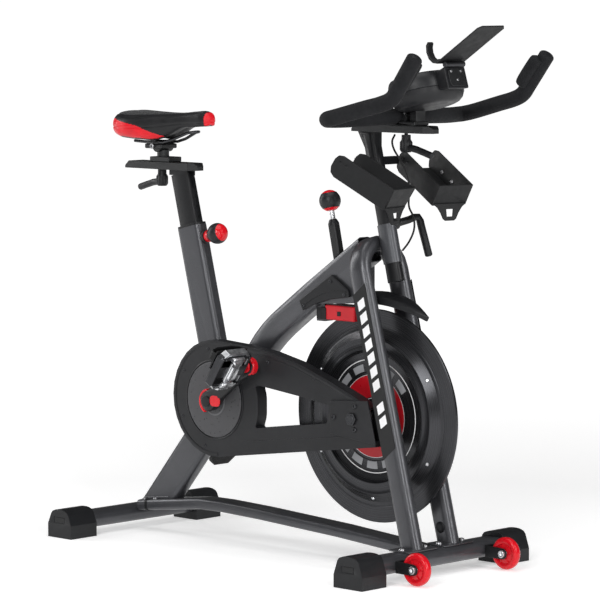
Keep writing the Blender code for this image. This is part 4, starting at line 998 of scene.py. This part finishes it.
def crank_trim():
    """The red and grey pieces that show on the right crank."""
    sweep = [math.radians(95 + 150 * i / 24) for i in range(25)]
    band = [(BB[0] + r * math.cos(a), BB[1] + r * math.sin(a))
            for r, turn in ((0.0285, sweep), (0.0225, sweep[::-1])) for a in turn]
    crescent = prism_into(bmesh.new(), band, -0.1000, -0.0905)
    piece("crank_crescent", crescent, "red", "crank", bevel=0.0014, segments=3)
    seat = [(0.0300, 0.0), (0.0338, 0.0), (0.0335, 0.0010), (0.0303, 0.0010)]
    lathe("crank_seat", seat, (BB[0], -0.0795, BB[1]), (0, -1, 0), "grey_plastic", "frame", 56)
    eye = pedal_point("right")
    cover = [(0.0075, 0.0), (0.0185, 0.0), (0.0195, 0.0012), (0.0195, 0.0130), (0.0180, 0.0150),
             (0.0075, 0.0150)]
    lathe("crank_eye_cover", cover, (eye.x, -0.0985, eye.z), (0, -1, 0), "red", "crank", 56)
    place = facing((-0.1560, -0.1054, 0.3345), (0, -1, 0))
    piece("crank_inlay", slab_into(bmesh.new(), place, (0.032, 0.024), 0.010, 0.0012), "red", "crank")


def crank_pieces():
    cap = [(0.0, 0.0), (0.0125, 0.0), (0.0125, 0.0022), (0.0112, 0.0034), (0.0050, 0.0040), (0.0, 0.0036)]
    for side, face in (("right", -0.1053), ("left", 0.0653)):
        dressed(f"crank_arm_{side}", "steel", 0.0008, 2, 50)
        lathe(f"crank_cap_{side}", cap, (BB[0], face, BB[1]), (0, SIDES[side], 0), "plastic", "crank", 36)
        if side == "right":
            crank_trim()
    spindle = [(0.0, -0.1000), (0.0088, -0.1000), (0.0100, -0.0988), (0.0100, 0.0568), (0.0088, 0.0580),
               (0.0, 0.0580)]
    made = lathe("crank_spindle", spindle, (BB[0], 0, BB[1]), (0, 1, 0), "silver", "crank", 32)
    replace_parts(made, "crank_axle")


def pedal_cage(side, place, body):
    """The angular cage round the platform, and the stadium loop at its front end."""
    def octagon(x, y, cut):
        return [(x, -y + cut), (x, y - cut), (x - cut, y), (-x + cut, y), (-x, y - cut), (-x, -y + cut),
                (-x + cut, -y), (x - cut, -y)]

    bm = prism_into(bmesh.new(), octagon(0.0480, 0.0420, 0.0130), -0.0085, 0.0085, "XY",
                    holes=[octagon(0.0415, 0.0355, 0.0100)])
    bmesh.ops.transform(bm, matrix=place, verts=bm.verts)
    piece(f"pedal_cage_{side}", bm, "cast", body, bevel=0.0008, segments=3)

    def stadium(long, short):
        return [((long - short) * (1 if math.cos(a) >= 0 else -1) + short * math.cos(a), short * math.sin(a))
                for a in (math.pi * (i + 0.5) / 10 for i in range(20))]

    bm = prism_into(bmesh.new(), stadium(0.0220, 0.0105), 0.0460, 0.0510, "YZ",
                    holes=[stadium(0.0180, 0.0068)])
    bmesh.ops.transform(bm, matrix=place, verts=bm.verts)
    piece(f"pedal_loop_{side}", bm, "silver", body, bevel=0.0007, segments=3)


def clip_into(bm, place):
    """The clip mechanism's base plates, and its front and rear hooks."""
    outline = [(-0.026, -0.0150), (0.020, -0.0170), (0.030, -0.0100), (0.030, 0.0100), (0.020, 0.0170),
               (-0.026, 0.0150)]
    for levels in (((0.0108, 1.0), (0.0150, 1.0), (0.0162, 0.93)),
                   ((0.0160, 0.66), (0.0192, 0.60), (0.0200, 0.50))):
        loft_into(bm, [[place @ Vector((a * s, b * s, z)) for a, b in outline] for z, s in levels])
    hook = ((0.0100, 0.0, 0.0150), (0.0165, 0.0, 0.0140), (0.0205, 0.35, 0.0115), (0.0215, 1.0, 0.0085))
    half = 0.0022
    for x, lean in ((0.030, -0.006), (-0.030, 0.006)):
        loft_into(bm, [[place @ Vector((x + lean * u + a, b, z))
                        for a, b in ((-half, -w), (half, -w), (half, w), (-half, w))] for z, u, w in hook])
    return bm


def pedal_pieces():
    barrel = [(0.0, -0.0175), (0.0048, -0.0175), (0.0052, -0.0168), (0.0052, 0.0168), (0.0048, 0.0175),
              (0.0, 0.0175)]
    stud = [(0.0, 0.0), (0.0022, 0.0), (0.0022, 0.0030), (0.0012, 0.0042), (0.0, 0.0042)]
    collar = [(0.0066, 0.0), (0.0125, 0.0), (0.0132, 0.0010), (0.0132, 0.0052), (0.0120, 0.0062),
              (0.0066, 0.0062)]
    for side, sign in SIDES.items():
        body = f"pedal_{side}"
        centre = pedal_point(side) + Vector((0, sign * PEDAL_Y[side], 0))
        place = Matrix.Translation(centre) @ Matrix.Rotation(PEDAL_TILT[side], 4, "Y")
        up = place.to_3x3() @ Vector((0, 0, 1))
        dressed(f"pedal_{side}", "dark_bolt", 0.0016, 3)
        dressed(f"toe_cage_{side}", "soft_black", 0.0007)
        piece(f"pedal_clip_{side}", clip_into(bmesh.new(), place), "silver", body, bevel=0.0005)
        bm = bmesh.new()
        for x in (-0.0345, 0.0345):
            lathe_into(bm, barrel, place @ Vector((x, 0, 0.0135)), (0, 1, 0), 24)
        piece(f"pedal_springs_{side}", bm, "silver", body)
        bm = bmesh.new()
        for x in (-0.0385 * 0.93, 0.0385 * 0.93):
            for y in (-0.036, 0.036):
                lathe_into(bm, stud, place @ Vector((x, y, 0.0108)), up, 12)
        piece(f"pedal_studs_{side}", bm, "dark_bolt", body)
        pedal_cage(side, place, body)
        inner_end = centre - Vector((0, sign * 0.0485, 0))
        lathe(f"pedal_collar_{side}", collar, inner_end, (0, -sign, 0), "red", body, 36)


# ---------------------------------------------------------------- brake
def brake_pieces():
    """The magnet bracket over the rim, its cover, screws and crease, the sleeve, the rod and the fender."""
    dressed("magnet_bracket", "red_paint", 0.0010, 3)
    dressed("brake_cover", "plastic", 0.0024, 4)
    dressed("resistance_sleeve", "steel", 0.0006)
    dressed("resistance_rod", "silver", 0.0008)
    dressed("fender", "plastic", 0.0008, 2, 50)

    bm = bmesh.new()
    for sign in SIDES.values():
        slab_into(bm, facing((0.0905, sign * 0.0199, 0.5420), (0, sign, 0)), (0.028, 0.026), 0.003, 0.0018)
        slab_into(bm, facing((0.1430, sign * 0.0199, 0.5440), (0, sign, 0)), (0.010, 0.010), 0.002, 0.0014)
    piece("brake_magnets", bm, "soft_black", "magnet")
    bm = bmesh.new()
    for sign in SIDES.values():
        slab_into(bm, facing((0.1440, sign * 0.0150, 0.5614), (0, 0, 1)), (0.080, 0.006), 0.002, 0.0014)
    piece("brake_yoke", bm, "steel", "magnet")

    cover_face = -0.0335
    places = [((x, cover_face, z), (0, -1, 0))
              for x, z in ((0.0480, 0.5560), (0.1700, 0.5880), (0.1290, 0.6150))]
    bolts("brake_screws", "frame", "dark_bolt", places, 0.0040, 0.0022)
    crease = smooth_points([(0.0440, 0, 0.5560), (0.0850, 0, 0.5790), (0.1250, 0, 0.5930),
                            (0.1760, 0, 0.5950)], 5)
    ribbon("brake_crease", [(p.x, p.z) for p in crease], cover_face, 0.0008, 0.0030, "plastic", "frame")
    resistance_pieces()


def resistance_pieces():
    """The resistance knob's ball, black with red ends, near-black rings of painted shade at its grooves, and
    the collar that the rod goes into.
    """
    lean = Vector((-math.sin(KNOB_LEAN), 0, math.cos(KNOB_LEAN)))
    reach, rod_end, socket = 0.115, 0.0935, 0.0135
    centre = SLEEVE_FOOT + lean * reach
    floor = rod_end - reach + socket
    profile = [(0.0066, floor), (0.0066, -0.0205), (0.0105, -0.0214), *arc(BALL_RADIUS, 26, 180, 26)[:-1],
               (0.0, BALL_RADIUS), (0.0, floor)]
    bm = lathe_into(bmesh.new(), profile, centre, lean, 56)
    second_material_past(bm, centre, lean, -0.0150, 0.0165)
    made = piece("resistance_ball", bm, ["cap", "red"], "brake_knob", smooth=50)
    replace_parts(made, "resistance_knob")
    # near-black rings at the two grooves: painted shade in the grooves
    bm = bmesh.new()
    half = 0.0008
    for level in (0.0163, -0.0150):
        r = math.sqrt(BALL_RADIUS ** 2 - level ** 2)
        band = [(r - 0.0012, level - half), (r + 0.0004, level - half), (r + 0.0004, level + half),
                (r - 0.0012, level + half)]
        lathe_into(bm, band, centre, lean, 56)
    piece("resistance_groove_shade", bm, "decal", "brake_knob")
    boot = [(0.0064, 0.060), (0.0115, 0.060), (0.0125, 0.0640), (0.0110, 0.0680), (0.0080, 0.0740),
            (0.0064, 0.0745)]
    lathe("rod_collar", boot, SLEEVE_FOOT, lean, "plastic", "frame", 36)


def pin_pieces():
    """The pop pin's ball, black with red ends, and its bush."""
    forward = Vector((math.cos(LEAN), 0, math.sin(LEAN)))
    start = Vector((-0.32743, 0, 0.6795))
    middle = 0.0770
    profile = [(0.0, 0.0312), (0.0048, 0.0312), (0.0048, 0.0425), (0.0118, 0.0425), (0.0130, 0.0440),
               (0.0148, 0.0540), (0.0150, 0.0580)]
    profile += [(r, middle + h) for r, h in arc(BALL_RADIUS, 44, 180, 22)[:-1]]
    profile.append((0.0, middle + BALL_RADIUS))
    bm = lathe_into(bmesh.new(), profile, start, forward, 56)
    second_material_past(bm, start, forward, 0.0560, middle + 0.0140)
    made = piece("pop_pin_ball", bm, ["cap", "red"], "pop_pin", smooth=50)
    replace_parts(made, "pop_pin_knob")
    sleeve = [(0.0056, 0.0352), (0.0150, 0.0352), (0.0150, 0.0385), (0.0128, 0.0405), (0.0056, 0.0405)]
    lathe("pop_pin_bush", sleeve, start, forward, "steel", "frame", 40)


# ---------------------------------------------------------------- saddle and its post
def seat_post_hole_shade():
    """Painted shade in the locating holes up the seat post's front edge: near-black shallow dished inserts
    where the holes are.
    """
    low, high, pitch, half_depth, radius = 0.728, 0.822, 0.0215, 0.0290, 0.0042
    ring = [(0.0, -0.0006), (radius, -0.0006), (radius, 0.0003), (radius * 0.85, 0.0004), (0.0, 0.0001)]
    bm = bmesh.new()
    lean = Vector((math.cos(LEAN), 0, math.sin(LEAN)))
    z = low
    while z < high:
        lathe_into(bm, ring, post_point(SEAT_TOP, z) + lean * (half_depth + 0.00005), lean, 20)
        z += pitch
    piece("seat_post_hole_shade", bm, "decal", "seat_post")


def seat_pieces():
    """The seat post, its rail, slider, lever and clamp, and the saddle's rails."""
    dressed("seat_post", "post", 0.0006)
    dressed("seat_rail", "steel", 0.0010, 3)
    dressed("seat_slider", "steel", 0.0012, 3)
    dressed("seat_lever", "plastic", 0.0008, 2, 40)
    dressed("saddle_clamp", "steel", 0.0010, 3)
    dressed("saddle_rails", "dark_bolt", 0.0, 2, 60)
    # near-black discs: painted shade in the post's holes
    seat_post_hole_shade()
    lever_grip("seat_lever_hub", Vector((-0.4325, 0, 0.8300)), "seat_lever")

    barrel = [(0.0, -0.0220), (0.0125, -0.0220), (0.0138, -0.0206), (0.0138, 0.0206), (0.0125, 0.0220),
              (0.0, 0.0220)]
    lathe("saddle_tilt_barrel", barrel, (-0.4290, 0, 0.8910), (0, 1, 0), "steel", "seat_slider", 40)
    bm = bmesh.new()
    for sign in SIDES.values():
        bolt_into(bm, facing((-0.4365, sign * 0.0262, 0.8910), (0, sign, 0)), 0.0062, 0.0040, "cap")
    piece("saddle_clamp_bolts", bm, "bolt", "saddle", smooth=40)
    bm = bmesh.new()
    outline = rounded(0.040, 0.010, 0.004)
    for sign in SIDES.values():
        rings = [[(-0.4365 + a * s, sign * 0.0232 + b * s, z) for a, b in outline]
                 for s, z in ((0.96, 0.8962), (1.0, 0.8972), (1.0, 0.9020), (0.9, 0.9032))]
        loft_into(bm, rings)
    piece("saddle_clamp_ears", bm, "steel", "saddle")


def lever_grip(name, hub, body):
    """Ribbed skirt round a clamping lever's hub."""
    steps, ribs, rib_height = 72, 18, 0.0004
    rings = []
    for height, radius in ((-0.0265, 0.0128), (-0.0255, 0.0134), (-0.0095, 0.0134), (-0.0082, 0.0128)):
        ring = []
        for i in range(steps):
            a = 2 * math.pi * i / steps
            r = radius + rib_height * math.cos(ribs * a)
            ring.append(hub + Vector((r * math.cos(a), r * math.sin(a), height)))
        rings.append(ring)
    piece(name, loft_into(bmesh.new(), rings), "plastic", body, smooth=30)


# (x, half width, bottom, side, top) of the saddle from its tail to its nose. Side is where it is widest.
SADDLE_SECTIONS = np.array([(-0.5400, 0.024, 0.926, 0.944, 0.9600), (-0.5350, 0.050, 0.914, 0.940, 0.9670),
                            (-0.5180, 0.070, 0.905, 0.937, 0.9710), (-0.4900, 0.0765, 0.901, 0.936, 0.9705),
                            (-0.4550, 0.072, 0.899, 0.937, 0.9685), (-0.4200, 0.060, 0.898, 0.939, 0.9675),
                            (-0.3850, 0.043, 0.911, 0.943, 0.9680), (-0.3450, 0.030, 0.931, 0.947, 0.9710),
                            (-0.3100, 0.0245, 0.934, 0.949, 0.9745), (-0.2850, 0.0210, 0.936, 0.950, 0.9745),
                            (-0.2735, 0.0160, 0.938, 0.951, 0.9690), (-0.2690, 0.0080, 0.943, 0.953, 0.9610)])
SADDLE_REAR, SADDLE_FRONT = -0.5399, -0.2691


def saddle_at(x):
    """The saddle's section at x, from smooth curves through the given sections."""
    xs = SADDLE_SECTIONS[:, 0]
    out = []
    for ys in SADDLE_SECTIONS[:, 1:].T:
        i = int(np.clip(np.searchsorted(xs, x) - 1, 0, len(xs) - 2))
        t = float(np.clip((x - xs[i]) / (xs[i + 1] - xs[i]), 0, 1))
        slopes = np.gradient(ys, xs)
        h = xs[i + 1] - xs[i]
        m0, m1 = slopes[i] * h, slopes[i + 1] * h
        t2, t3 = t * t, t ** 3
        out.append(float((2 * t3 - 3 * t2 + 1) * ys[i] + (t3 - 2 * t2 + t) * m0
                         + (-2 * t3 + 3 * t2) * ys[i + 1] + (t3 - t2) * m1))
    return out


def saddle_side(x):
    """Height of the saddle's widest line at x."""
    return saddle_at(min(max(float(x), SADDLE_REAR), SADDLE_FRONT))[2]


def saddle_mesh(shrink):
    """The padded body: rings of points round the section, from tail to nose."""
    rings = []
    count, around = 56, 48
    low, high = -0.5396, -0.2694
    crowding = 0.35  # how far the rings crowd towards the two ends
    for k in range(count + 1):
        u = k / count
        spread = 0.5 - 0.5 * math.cos(math.pi * u) * crowding - 0.5 * (1 - crowding) * (1 - 2 * u)
        x = low + (high - low) * spread
        half, bottom, side, top = saddle_at(x)
        ring = []
        for i in range(around):
            a = 2 * math.pi * i / around
            y = half * math.copysign(abs(math.cos(a)) ** 0.75, math.cos(a))
            rise = abs(math.sin(a)) ** 0.8
            hollow = 1 - 0.30 * max(0.0, 1 - abs(y) / (0.75 * half))
            z = side + (top - side) * rise if math.sin(a) >= 0 else side - (side - bottom) * rise * hollow
            centre = Vector((x, 0, (top + bottom) / 2))
            p = Vector((x, y, z))
            away = p - centre
            if away.length > 1e-6:
                p = centre + away * max(0.1, 1 - shrink / max(away.length, 0.010))
            ring.append(p)
        rings.append(ring)
    return loft_into(bmesh.new(), rings)


def saddle_pieces():
    bm = saddle_mesh(0.0012)
    bmesh.ops.recalc_face_normals(bm, faces=bm.faces)
    mesh = bpy.data.meshes.new("saddle_cover")
    bm.to_mesh(mesh)
    bm.free()
    saddle = bpy.data.objects.new("saddle_cover", mesh)
    bpy.context.scene.collection.objects.link(saddle)
    inflate(saddle)
    sculpt_saddle(saddle)
    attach(saddle, "saddle")
    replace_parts(saddle, "saddle")


def inflate(obj):
    """Swells the pad with a short cloth simulation under light pressure."""
    scene, frames, most_move = bpy.context.scene, 20, 0.005
    remesh = obj.modifiers.new("remesh", "REMESH")
    remesh.mode, remesh.voxel_size = "VOXEL", 0.0035
    apply_modifiers(obj)
    rest = np.array([v.co for v in obj.data.vertices], float).reshape(-1, 3)
    base = obj.vertex_groups.new(name="shell")
    for i, p in enumerate(rest):
        base.add([i], 1.0 if p[2] < saddle_side(p[0]) - 0.004 else 0.0, "REPLACE")
    cloth = obj.modifiers.new("cloth", "CLOTH")
    settings = cloth.settings
    settings.use_pressure, settings.uniform_pressure_force = True, 4.0
    settings.vertex_group_mass = "shell"
    settings.effector_weights.gravity = 0.0
    settings.tension_stiffness = settings.compression_stiffness = 25.0
    settings.bending_stiffness = 2.0
    settings.quality = 6
    cloth.collision_settings.use_collision = False
    cloth.point_cache.frame_start, cloth.point_cache.frame_end = 1, frames
    for number in range(1, frames + 1):
        scene.frame_set(number)
    apply_modifiers(obj)
    scene.frame_set(1)
    moved = np.array([v.co for v in obj.data.vertices], float).reshape(-1, 3)
    shift = moved - rest
    length = np.linalg.norm(shift, axis=1, keepdims=True)
    moved = rest + shift * np.minimum(1.0, most_move / np.maximum(length, 1e-9))
    obj.data.vertices.foreach_set("co", moved.astype(np.float32).ravel())
    obj.vertex_groups.clear()
    obj.data.update()


def apply_modifiers(obj):
    bpy.context.view_layer.update()
    mesh = bpy.data.meshes.new_from_object(obj.evaluated_get(bpy.context.evaluated_depsgraph_get()))
    obj.modifiers.clear()
    obj.data = mesh


def sculpt_saddle(obj):
    """Presses the centre channel and the seams between panels, and gives each panel its cover."""
    sub = obj.modifiers.new("fine", "SUBSURF")
    sub.levels = sub.render_levels = 1 if len(obj.data.vertices) > 4000 else 2
    apply_modifiers(obj)
    mesh = obj.data
    mesh.materials.clear()
    for key in ("saddle_black", "saddle_red", "saddle_mid"):
        mesh.materials.append(MAT[key])
    co = np.array([v.co for v in mesh.vertices], float).reshape(-1, 3)
    normals = np.array([v.normal for v in mesh.vertices], float).reshape(-1, 3)
    push = np.zeros(len(co))
    seam_depth, seam_width = 0.0016, 0.0016
    channel_depth, channel_width, channel_middle, channel_half = 0.0040, 0.0075, -0.42, 0.13
    skirt_depth, skirt_width, skirt_drop = 0.0014, 0.0014, 0.003
    for i, (x, y, z) in enumerate(co):
        side = saddle_side(x)
        if z > side:
            mid_half = panel_half(x)
            if mid_half > 0:
                push[i] -= seam_depth * math.exp(-((abs(y) - mid_half) / seam_width) ** 2)
            channel = max(0.0, 1 - abs(x - channel_middle) / channel_half)
            push[i] -= channel_depth * channel * math.exp(-(y / channel_width) ** 2)
        push[i] -= skirt_depth * math.exp(-((z - (side - skirt_drop)) / skirt_width) ** 2)
    co += normals * push[:, None]
    mesh.vertices.foreach_set("co", co.astype(np.float32).ravel())
    mesh.update()
    for poly in mesh.polygons:
        poly.material_index = saddle_panel(*poly.center, poly.normal.z)
    mesh.shade_smooth()


def panel_half(x):
    """Half width of the saddle's perforated middle panel: widest over the sit bones, a strip at the nose."""
    tail, length, strip = -0.5400, 0.2710, 0.0125
    t = (x - tail) / length
    if t < 0.02 or t > 0.93:
        return 0.0
    return 0.058 * math.exp(-((t - 0.18) / 0.30) ** 2) * 0.72 + strip


def saddle_panel(x, y, z, up):
    """Which cover a face takes: black, the middle panel on top, or red at the nose and the rear sides."""
    black, red, middle = range(3)
    if up < -0.85:
        return black
    if z > saddle_side(x) and abs(y) < panel_half(x):
        return middle
    if x > -0.2790:
        return red
    seam = 0.956 - 0.19 * (x + 0.540) if x < -0.449 else 0.9388 - 0.42 * (x + 0.449)
    return red if x < -0.380 and z < seam else black


# ---------------------------------------------------------------- handlebar side
# The right half of the handlebar, from its middle to the horn's tip.
BAR_PATH = [(0.3080, 0.0, 0.9800), (0.3030, -0.090, 0.9775), (0.2930, -0.160, 0.9760),
            (0.2865, -0.200, 0.9765), (0.2950, -0.2175, 0.9785), (0.3250, -0.2200, 0.9850),
            (0.4000, -0.2150, 1.0035),
            (0.4400, -0.2110, 1.0130), (0.4690, -0.2085, 1.0250), (0.4880, -0.2090, 1.0480),
            (0.5320, -0.2110, 1.1065)]
BAR_RADIUS = 0.0171


def handlebar_pieces():
    """The foam-covered bar, the pads on its horns and the plugs in its ends."""
    right = smooth_points(BAR_PATH, 8)
    left = [Vector((p.x, -p.y, p.z)) for p in reversed(right[1:])]
    points = [*left, *right]
    out = (points[-1] - points[-2]).normalized()
    other = Vector((out.x, -out.y, out.z))
    tips = [(0.0020, 1.0), (0.0046, 0.93), (0.0064, 0.80), (0.0071, 0.60)]
    shares = [share for _, share in tips]
    radii = [BAR_RADIUS * share for share in (*reversed(shares), *[1.0] * len(points), *shares)]
    points = [*(points[0] + other * past for past, _ in reversed(tips)), *points,
              *(points[-1] + out * past for past, _ in tips)]
    foam_tube = tube_into(bmesh.new(), points, radii, 40)
    made = piece("handlebar_foam", foam_tube, "foam", "bars", smooth=50)
    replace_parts(made, "handlebar")
    pad = rounded(0.0255, 0.0215, 0.0085)
    bm = bmesh.new()
    for sign in SIDES.values():
        path = smooth_points([(0.4775, sign * 0.1945, 1.0430), (0.4860, sign * 0.1890, 1.0560),
                              (0.5170, sign * 0.1890, 1.0950), (0.5235, sign * 0.1945, 1.1030)], 6)
        rings = []
        for i, p in enumerate(path):
            a, b = path[max(i - 1, 0)], path[min(i + 1, len(path) - 1)]
            t = (b - a).normalized()
            across = t.cross(Vector((0, 1, 0))).normalized()
            end = min(i, len(path) - 1 - i)
            s = min(1.0, 0.82 + 0.09 * end)
            rings.append([p + across * (u * s) + Vector((0, v * s, 0)) for u, v in pad])
        loft_into(bm, rings)
    piece("horn_pads", bm, "foam", "bars", smooth=50)
    bm = bmesh.new()
    plug = [(0.0, -0.0008), (0.0088, -0.0008), (0.0088, 0.0004), (0.0070, 0.0009), (0.0, 0.0009)]
    for end, direction in ((points[-1], out), (points[0], other)):
        lathe_into(bm, plug, end, direction, 32)
    piece("bar_end_plugs", bm, "plastic", "bars")


CONSOLE_PLACE = Matrix.Translation((0.3780, 0.0, 1.0350)) @ Matrix.Rotation(math.radians(-16.0), 4, "Y")
CONSOLE_HALF = (0.0700, 0.0870)


def console_skin(levels):
    """A closed skin over rings of the console's squarish oval, each given as (scale, height)."""
    count, power, fit = 96, 2.3, 0.985

    def across(half, scale, c):
        return half * scale * math.copysign(abs(c) ** (2 / power), c) * fit

    rings = []
    for scale, height in levels:
        rings.append([CONSOLE_PLACE @ Vector((across(CONSOLE_HALF[0], scale, math.cos(a)),
                                              across(CONSOLE_HALF[1], scale, math.sin(a)), height))
                      for a in (2 * math.pi * i / count for i in range(count))])
    return loft_into(bmesh.new(), rings)


def console_pieces():
    bowl = console_skin(((0.60, -0.0355), (0.72, -0.0350), (0.82, -0.0320), (0.92, -0.0250), (0.985, -0.0140),
                         (1.0, -0.0050)))
    piece("console_bowl", bowl, "plastic", "bars", smooth=40)
    shell = console_skin(((0.985, -0.0046), (1.0, -0.0036), (1.0, 0.0080), (0.985, 0.0180), (0.945, 0.0255),
                          (0.90, 0.0295), (0.86, 0.0305), (0.80, 0.0290)))
    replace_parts(piece("console_shell", shell, "cap", "bars", smooth=40), "console")
    place = CONSOLE_PLACE @ Matrix.Translation((-0.008, 0, 0.0288))
    piece("console_screen", slab_into(bmesh.new(), place, (0.070, 0.105), 0.010, 0.0016), "screen", "bars")
    bm = bmesh.new()
    for y in (-0.042, -0.021, 0.0, 0.021, 0.042):
        slab_into(bm, CONSOLE_PLACE @ Matrix.Translation((-0.0520, y, 0.0280)), (0.010, 0.015), 0.004, 0.0024)
    piece("console_keys", bm, "soft_black", "bars")

    outline = [(0.4200, 1.0350), (0.4700, 1.0420), (0.4560, 1.0880), (0.4380, 1.0790)]
    mast = prism_into(bmesh.new(), outline, -0.0330, 0.0330)
    piece("console_mast", mast, "plastic", "bars", bevel=0.0030, segments=4)
    slope, down = Vector((0.959, 0, 0.285)), Vector((0.285, 0, -0.959))
    middle, thick = Vector((0.4632, 0, 1.0655)), 0.0018
    plate = slab_into(bmesh.new(), facing(middle, slope), (0.050, 0.038), 0.009, thick)
    piece("mast_plate", plate, "steel", "bars", bevel=0.0005)
    places = [(middle + slope * thick + down * along + Vector((0, y, 0)), slope)
              for y, along in ((-0.0155, -0.0130), (0.0155, -0.0130), (0.0, 0.0060))]
    bolts("mast_screws", "bars", "bolt", places, 0.0034, 0.0020)


def rack_pieces():
    dressed("media_rack", "soft_black", 0.0008, 2)
    tilt = Matrix.Translation((0.4470, 0, 1.0960)) @ Matrix.Rotation(-math.radians(33.0), 4, "Y")
    bm = bmesh.new()
    for y in (-0.026, 0.0, 0.026):
        slab_into(bm, tilt @ Matrix.Translation((0.068, y, 0.0029)), (0.104, 0.006), 0.0028, 0.0010)
    piece("rack_ribs", bm, "rubber", "rack")
    pin = [(0.0, -0.030), (0.0058, -0.030), (0.0064, -0.0292), (0.0064, 0.0292), (0.0058, 0.030),
           (0.0, 0.030)]
    lathe("rack_hinge_pin", pin, (0.4560, 0, 1.0925), (0, 1, 0), "dark_bolt", "bars", 28)


def holder_matrix(sign):
    """Where a dumbbell holder is, turned out and tilted."""
    turn = Matrix.Rotation(-sign * math.radians(12.0), 4, "Z")
    tilt = Matrix.Rotation(math.radians(28.5), 4, "Y")
    return Matrix.Translation((0.2308, sign * 0.1165, 0.8610)) @ turn @ tilt


def bar_pieces():
    """The bar's post, rail, carriage and levers, and the dumbbell holders with their bolts."""
    dressed("handlebar_post", "post", 0.0006, 2, 40)
    dressed("handlebar_rail", "steel", 0.0010, 3)
    dressed("handlebar_carriage", "steel", 0.0012, 3)
    dressed("handlebar_lever", "plastic", 0.0008, 2, 40)
    dressed("height_lever", "plastic", 0.0, 2, 60)
    lever_grip("bar_lever_hub", Vector((0.3205, 0, 0.9330)), "bar_lever")
    for side in SIDES:
        dressed(f"dumbbell_holder_{side}", "soft_black", 0.0019, 4, 30)
    # near-black discs on both faces of each holder: painted shade in its holes
    ring = [(0.0, -0.0006), (0.0034, -0.0006), (0.0034, 0.0004), (0.0028, 0.0006), (0.0, 0.0002)]
    bm = bmesh.new()
    places = []
    for sign in SIDES.values():
        place = holder_matrix(sign)
        sideways = place.to_3x3() @ Vector((0, 1, 0))
        for x in (0.018, 0.034):
            for face in (-1, 1):
                lathe_into(bm, ring, place @ Vector((x, face * 0.0450, 0.036)), sideways * face, 18)
        places += [(place @ Vector((x, sign * 0.0410, 0.020)), sideways * -sign) for x in (0.055, 0.095)]
    piece("holder_hole_shade", bm, "decal", "bar_post")
    bolts("holder_bolts", "bar_post", "bolt", places, 0.0046, 0.0026)
    bm = bmesh.new()
    for x in (0.2925, 0.3255):
        for sign in SIDES.values():
            bolt_into(bm, facing((x, sign * 0.0110, 0.9851), (0, 0, 1)), 0.0036, 0.0030, "cap")
    piece("clamp_bolts", bm, "bolt", "bars", smooth=40)
    collar = [(0.0086, -0.0030), (0.0120, -0.0030), (0.0128, 0.0), (0.0120, 0.0080), (0.0086, 0.0085)]
    along = Vector((0.005, 0.037, 0.0072))
    lathe("height_lever_boss", collar, (0.2690, 0.0180, 0.7438), along, "steel", "frame", 36)


CABLE_ROUTE = [(0.2880, 0.0, 0.9390), (0.2800, 0.0, 0.9240), (0.2820, 0.005, 0.9050), (0.2960, 0.012, 0.8800),
               (0.3070, 0.020, 0.8480), (0.3060, 0.026, 0.8150), (0.3020, 0.030, 0.7840),
               (0.3140, 0.032, 0.7600), (0.3150, 0.032, 0.7340), (0.3030, 0.030, 0.7080),
               (0.2890, 0.0240, 0.6880)]
CABLE_RADIUS = 0.0022


def cable_piece():
    """The console's cable, from the bar's rail into the head tube."""
    points = smooth_points(CABLE_ROUTE, 6)
    cable = piece("console_lead", tube_into(bmesh.new(), points, CABLE_RADIUS, 16), "rubber", smooth=60)
    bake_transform(cable)
    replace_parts(cable, "console_cable")


def main():
    make_camera()
    make_studio()
    make_materials()
    cable_piece()
    base_pieces()
    wheel_pieces()
    frame_pieces()
    flywheel_pieces()
    guard_pieces()
    crank_pieces()
    pedal_pieces()
    brake_pieces()
    pin_pieces()
    seat_pieces()
    saddle_pieces()
    handlebar_pieces()
    console_pieces()
    rack_pieces()
    bar_pieces()


main()
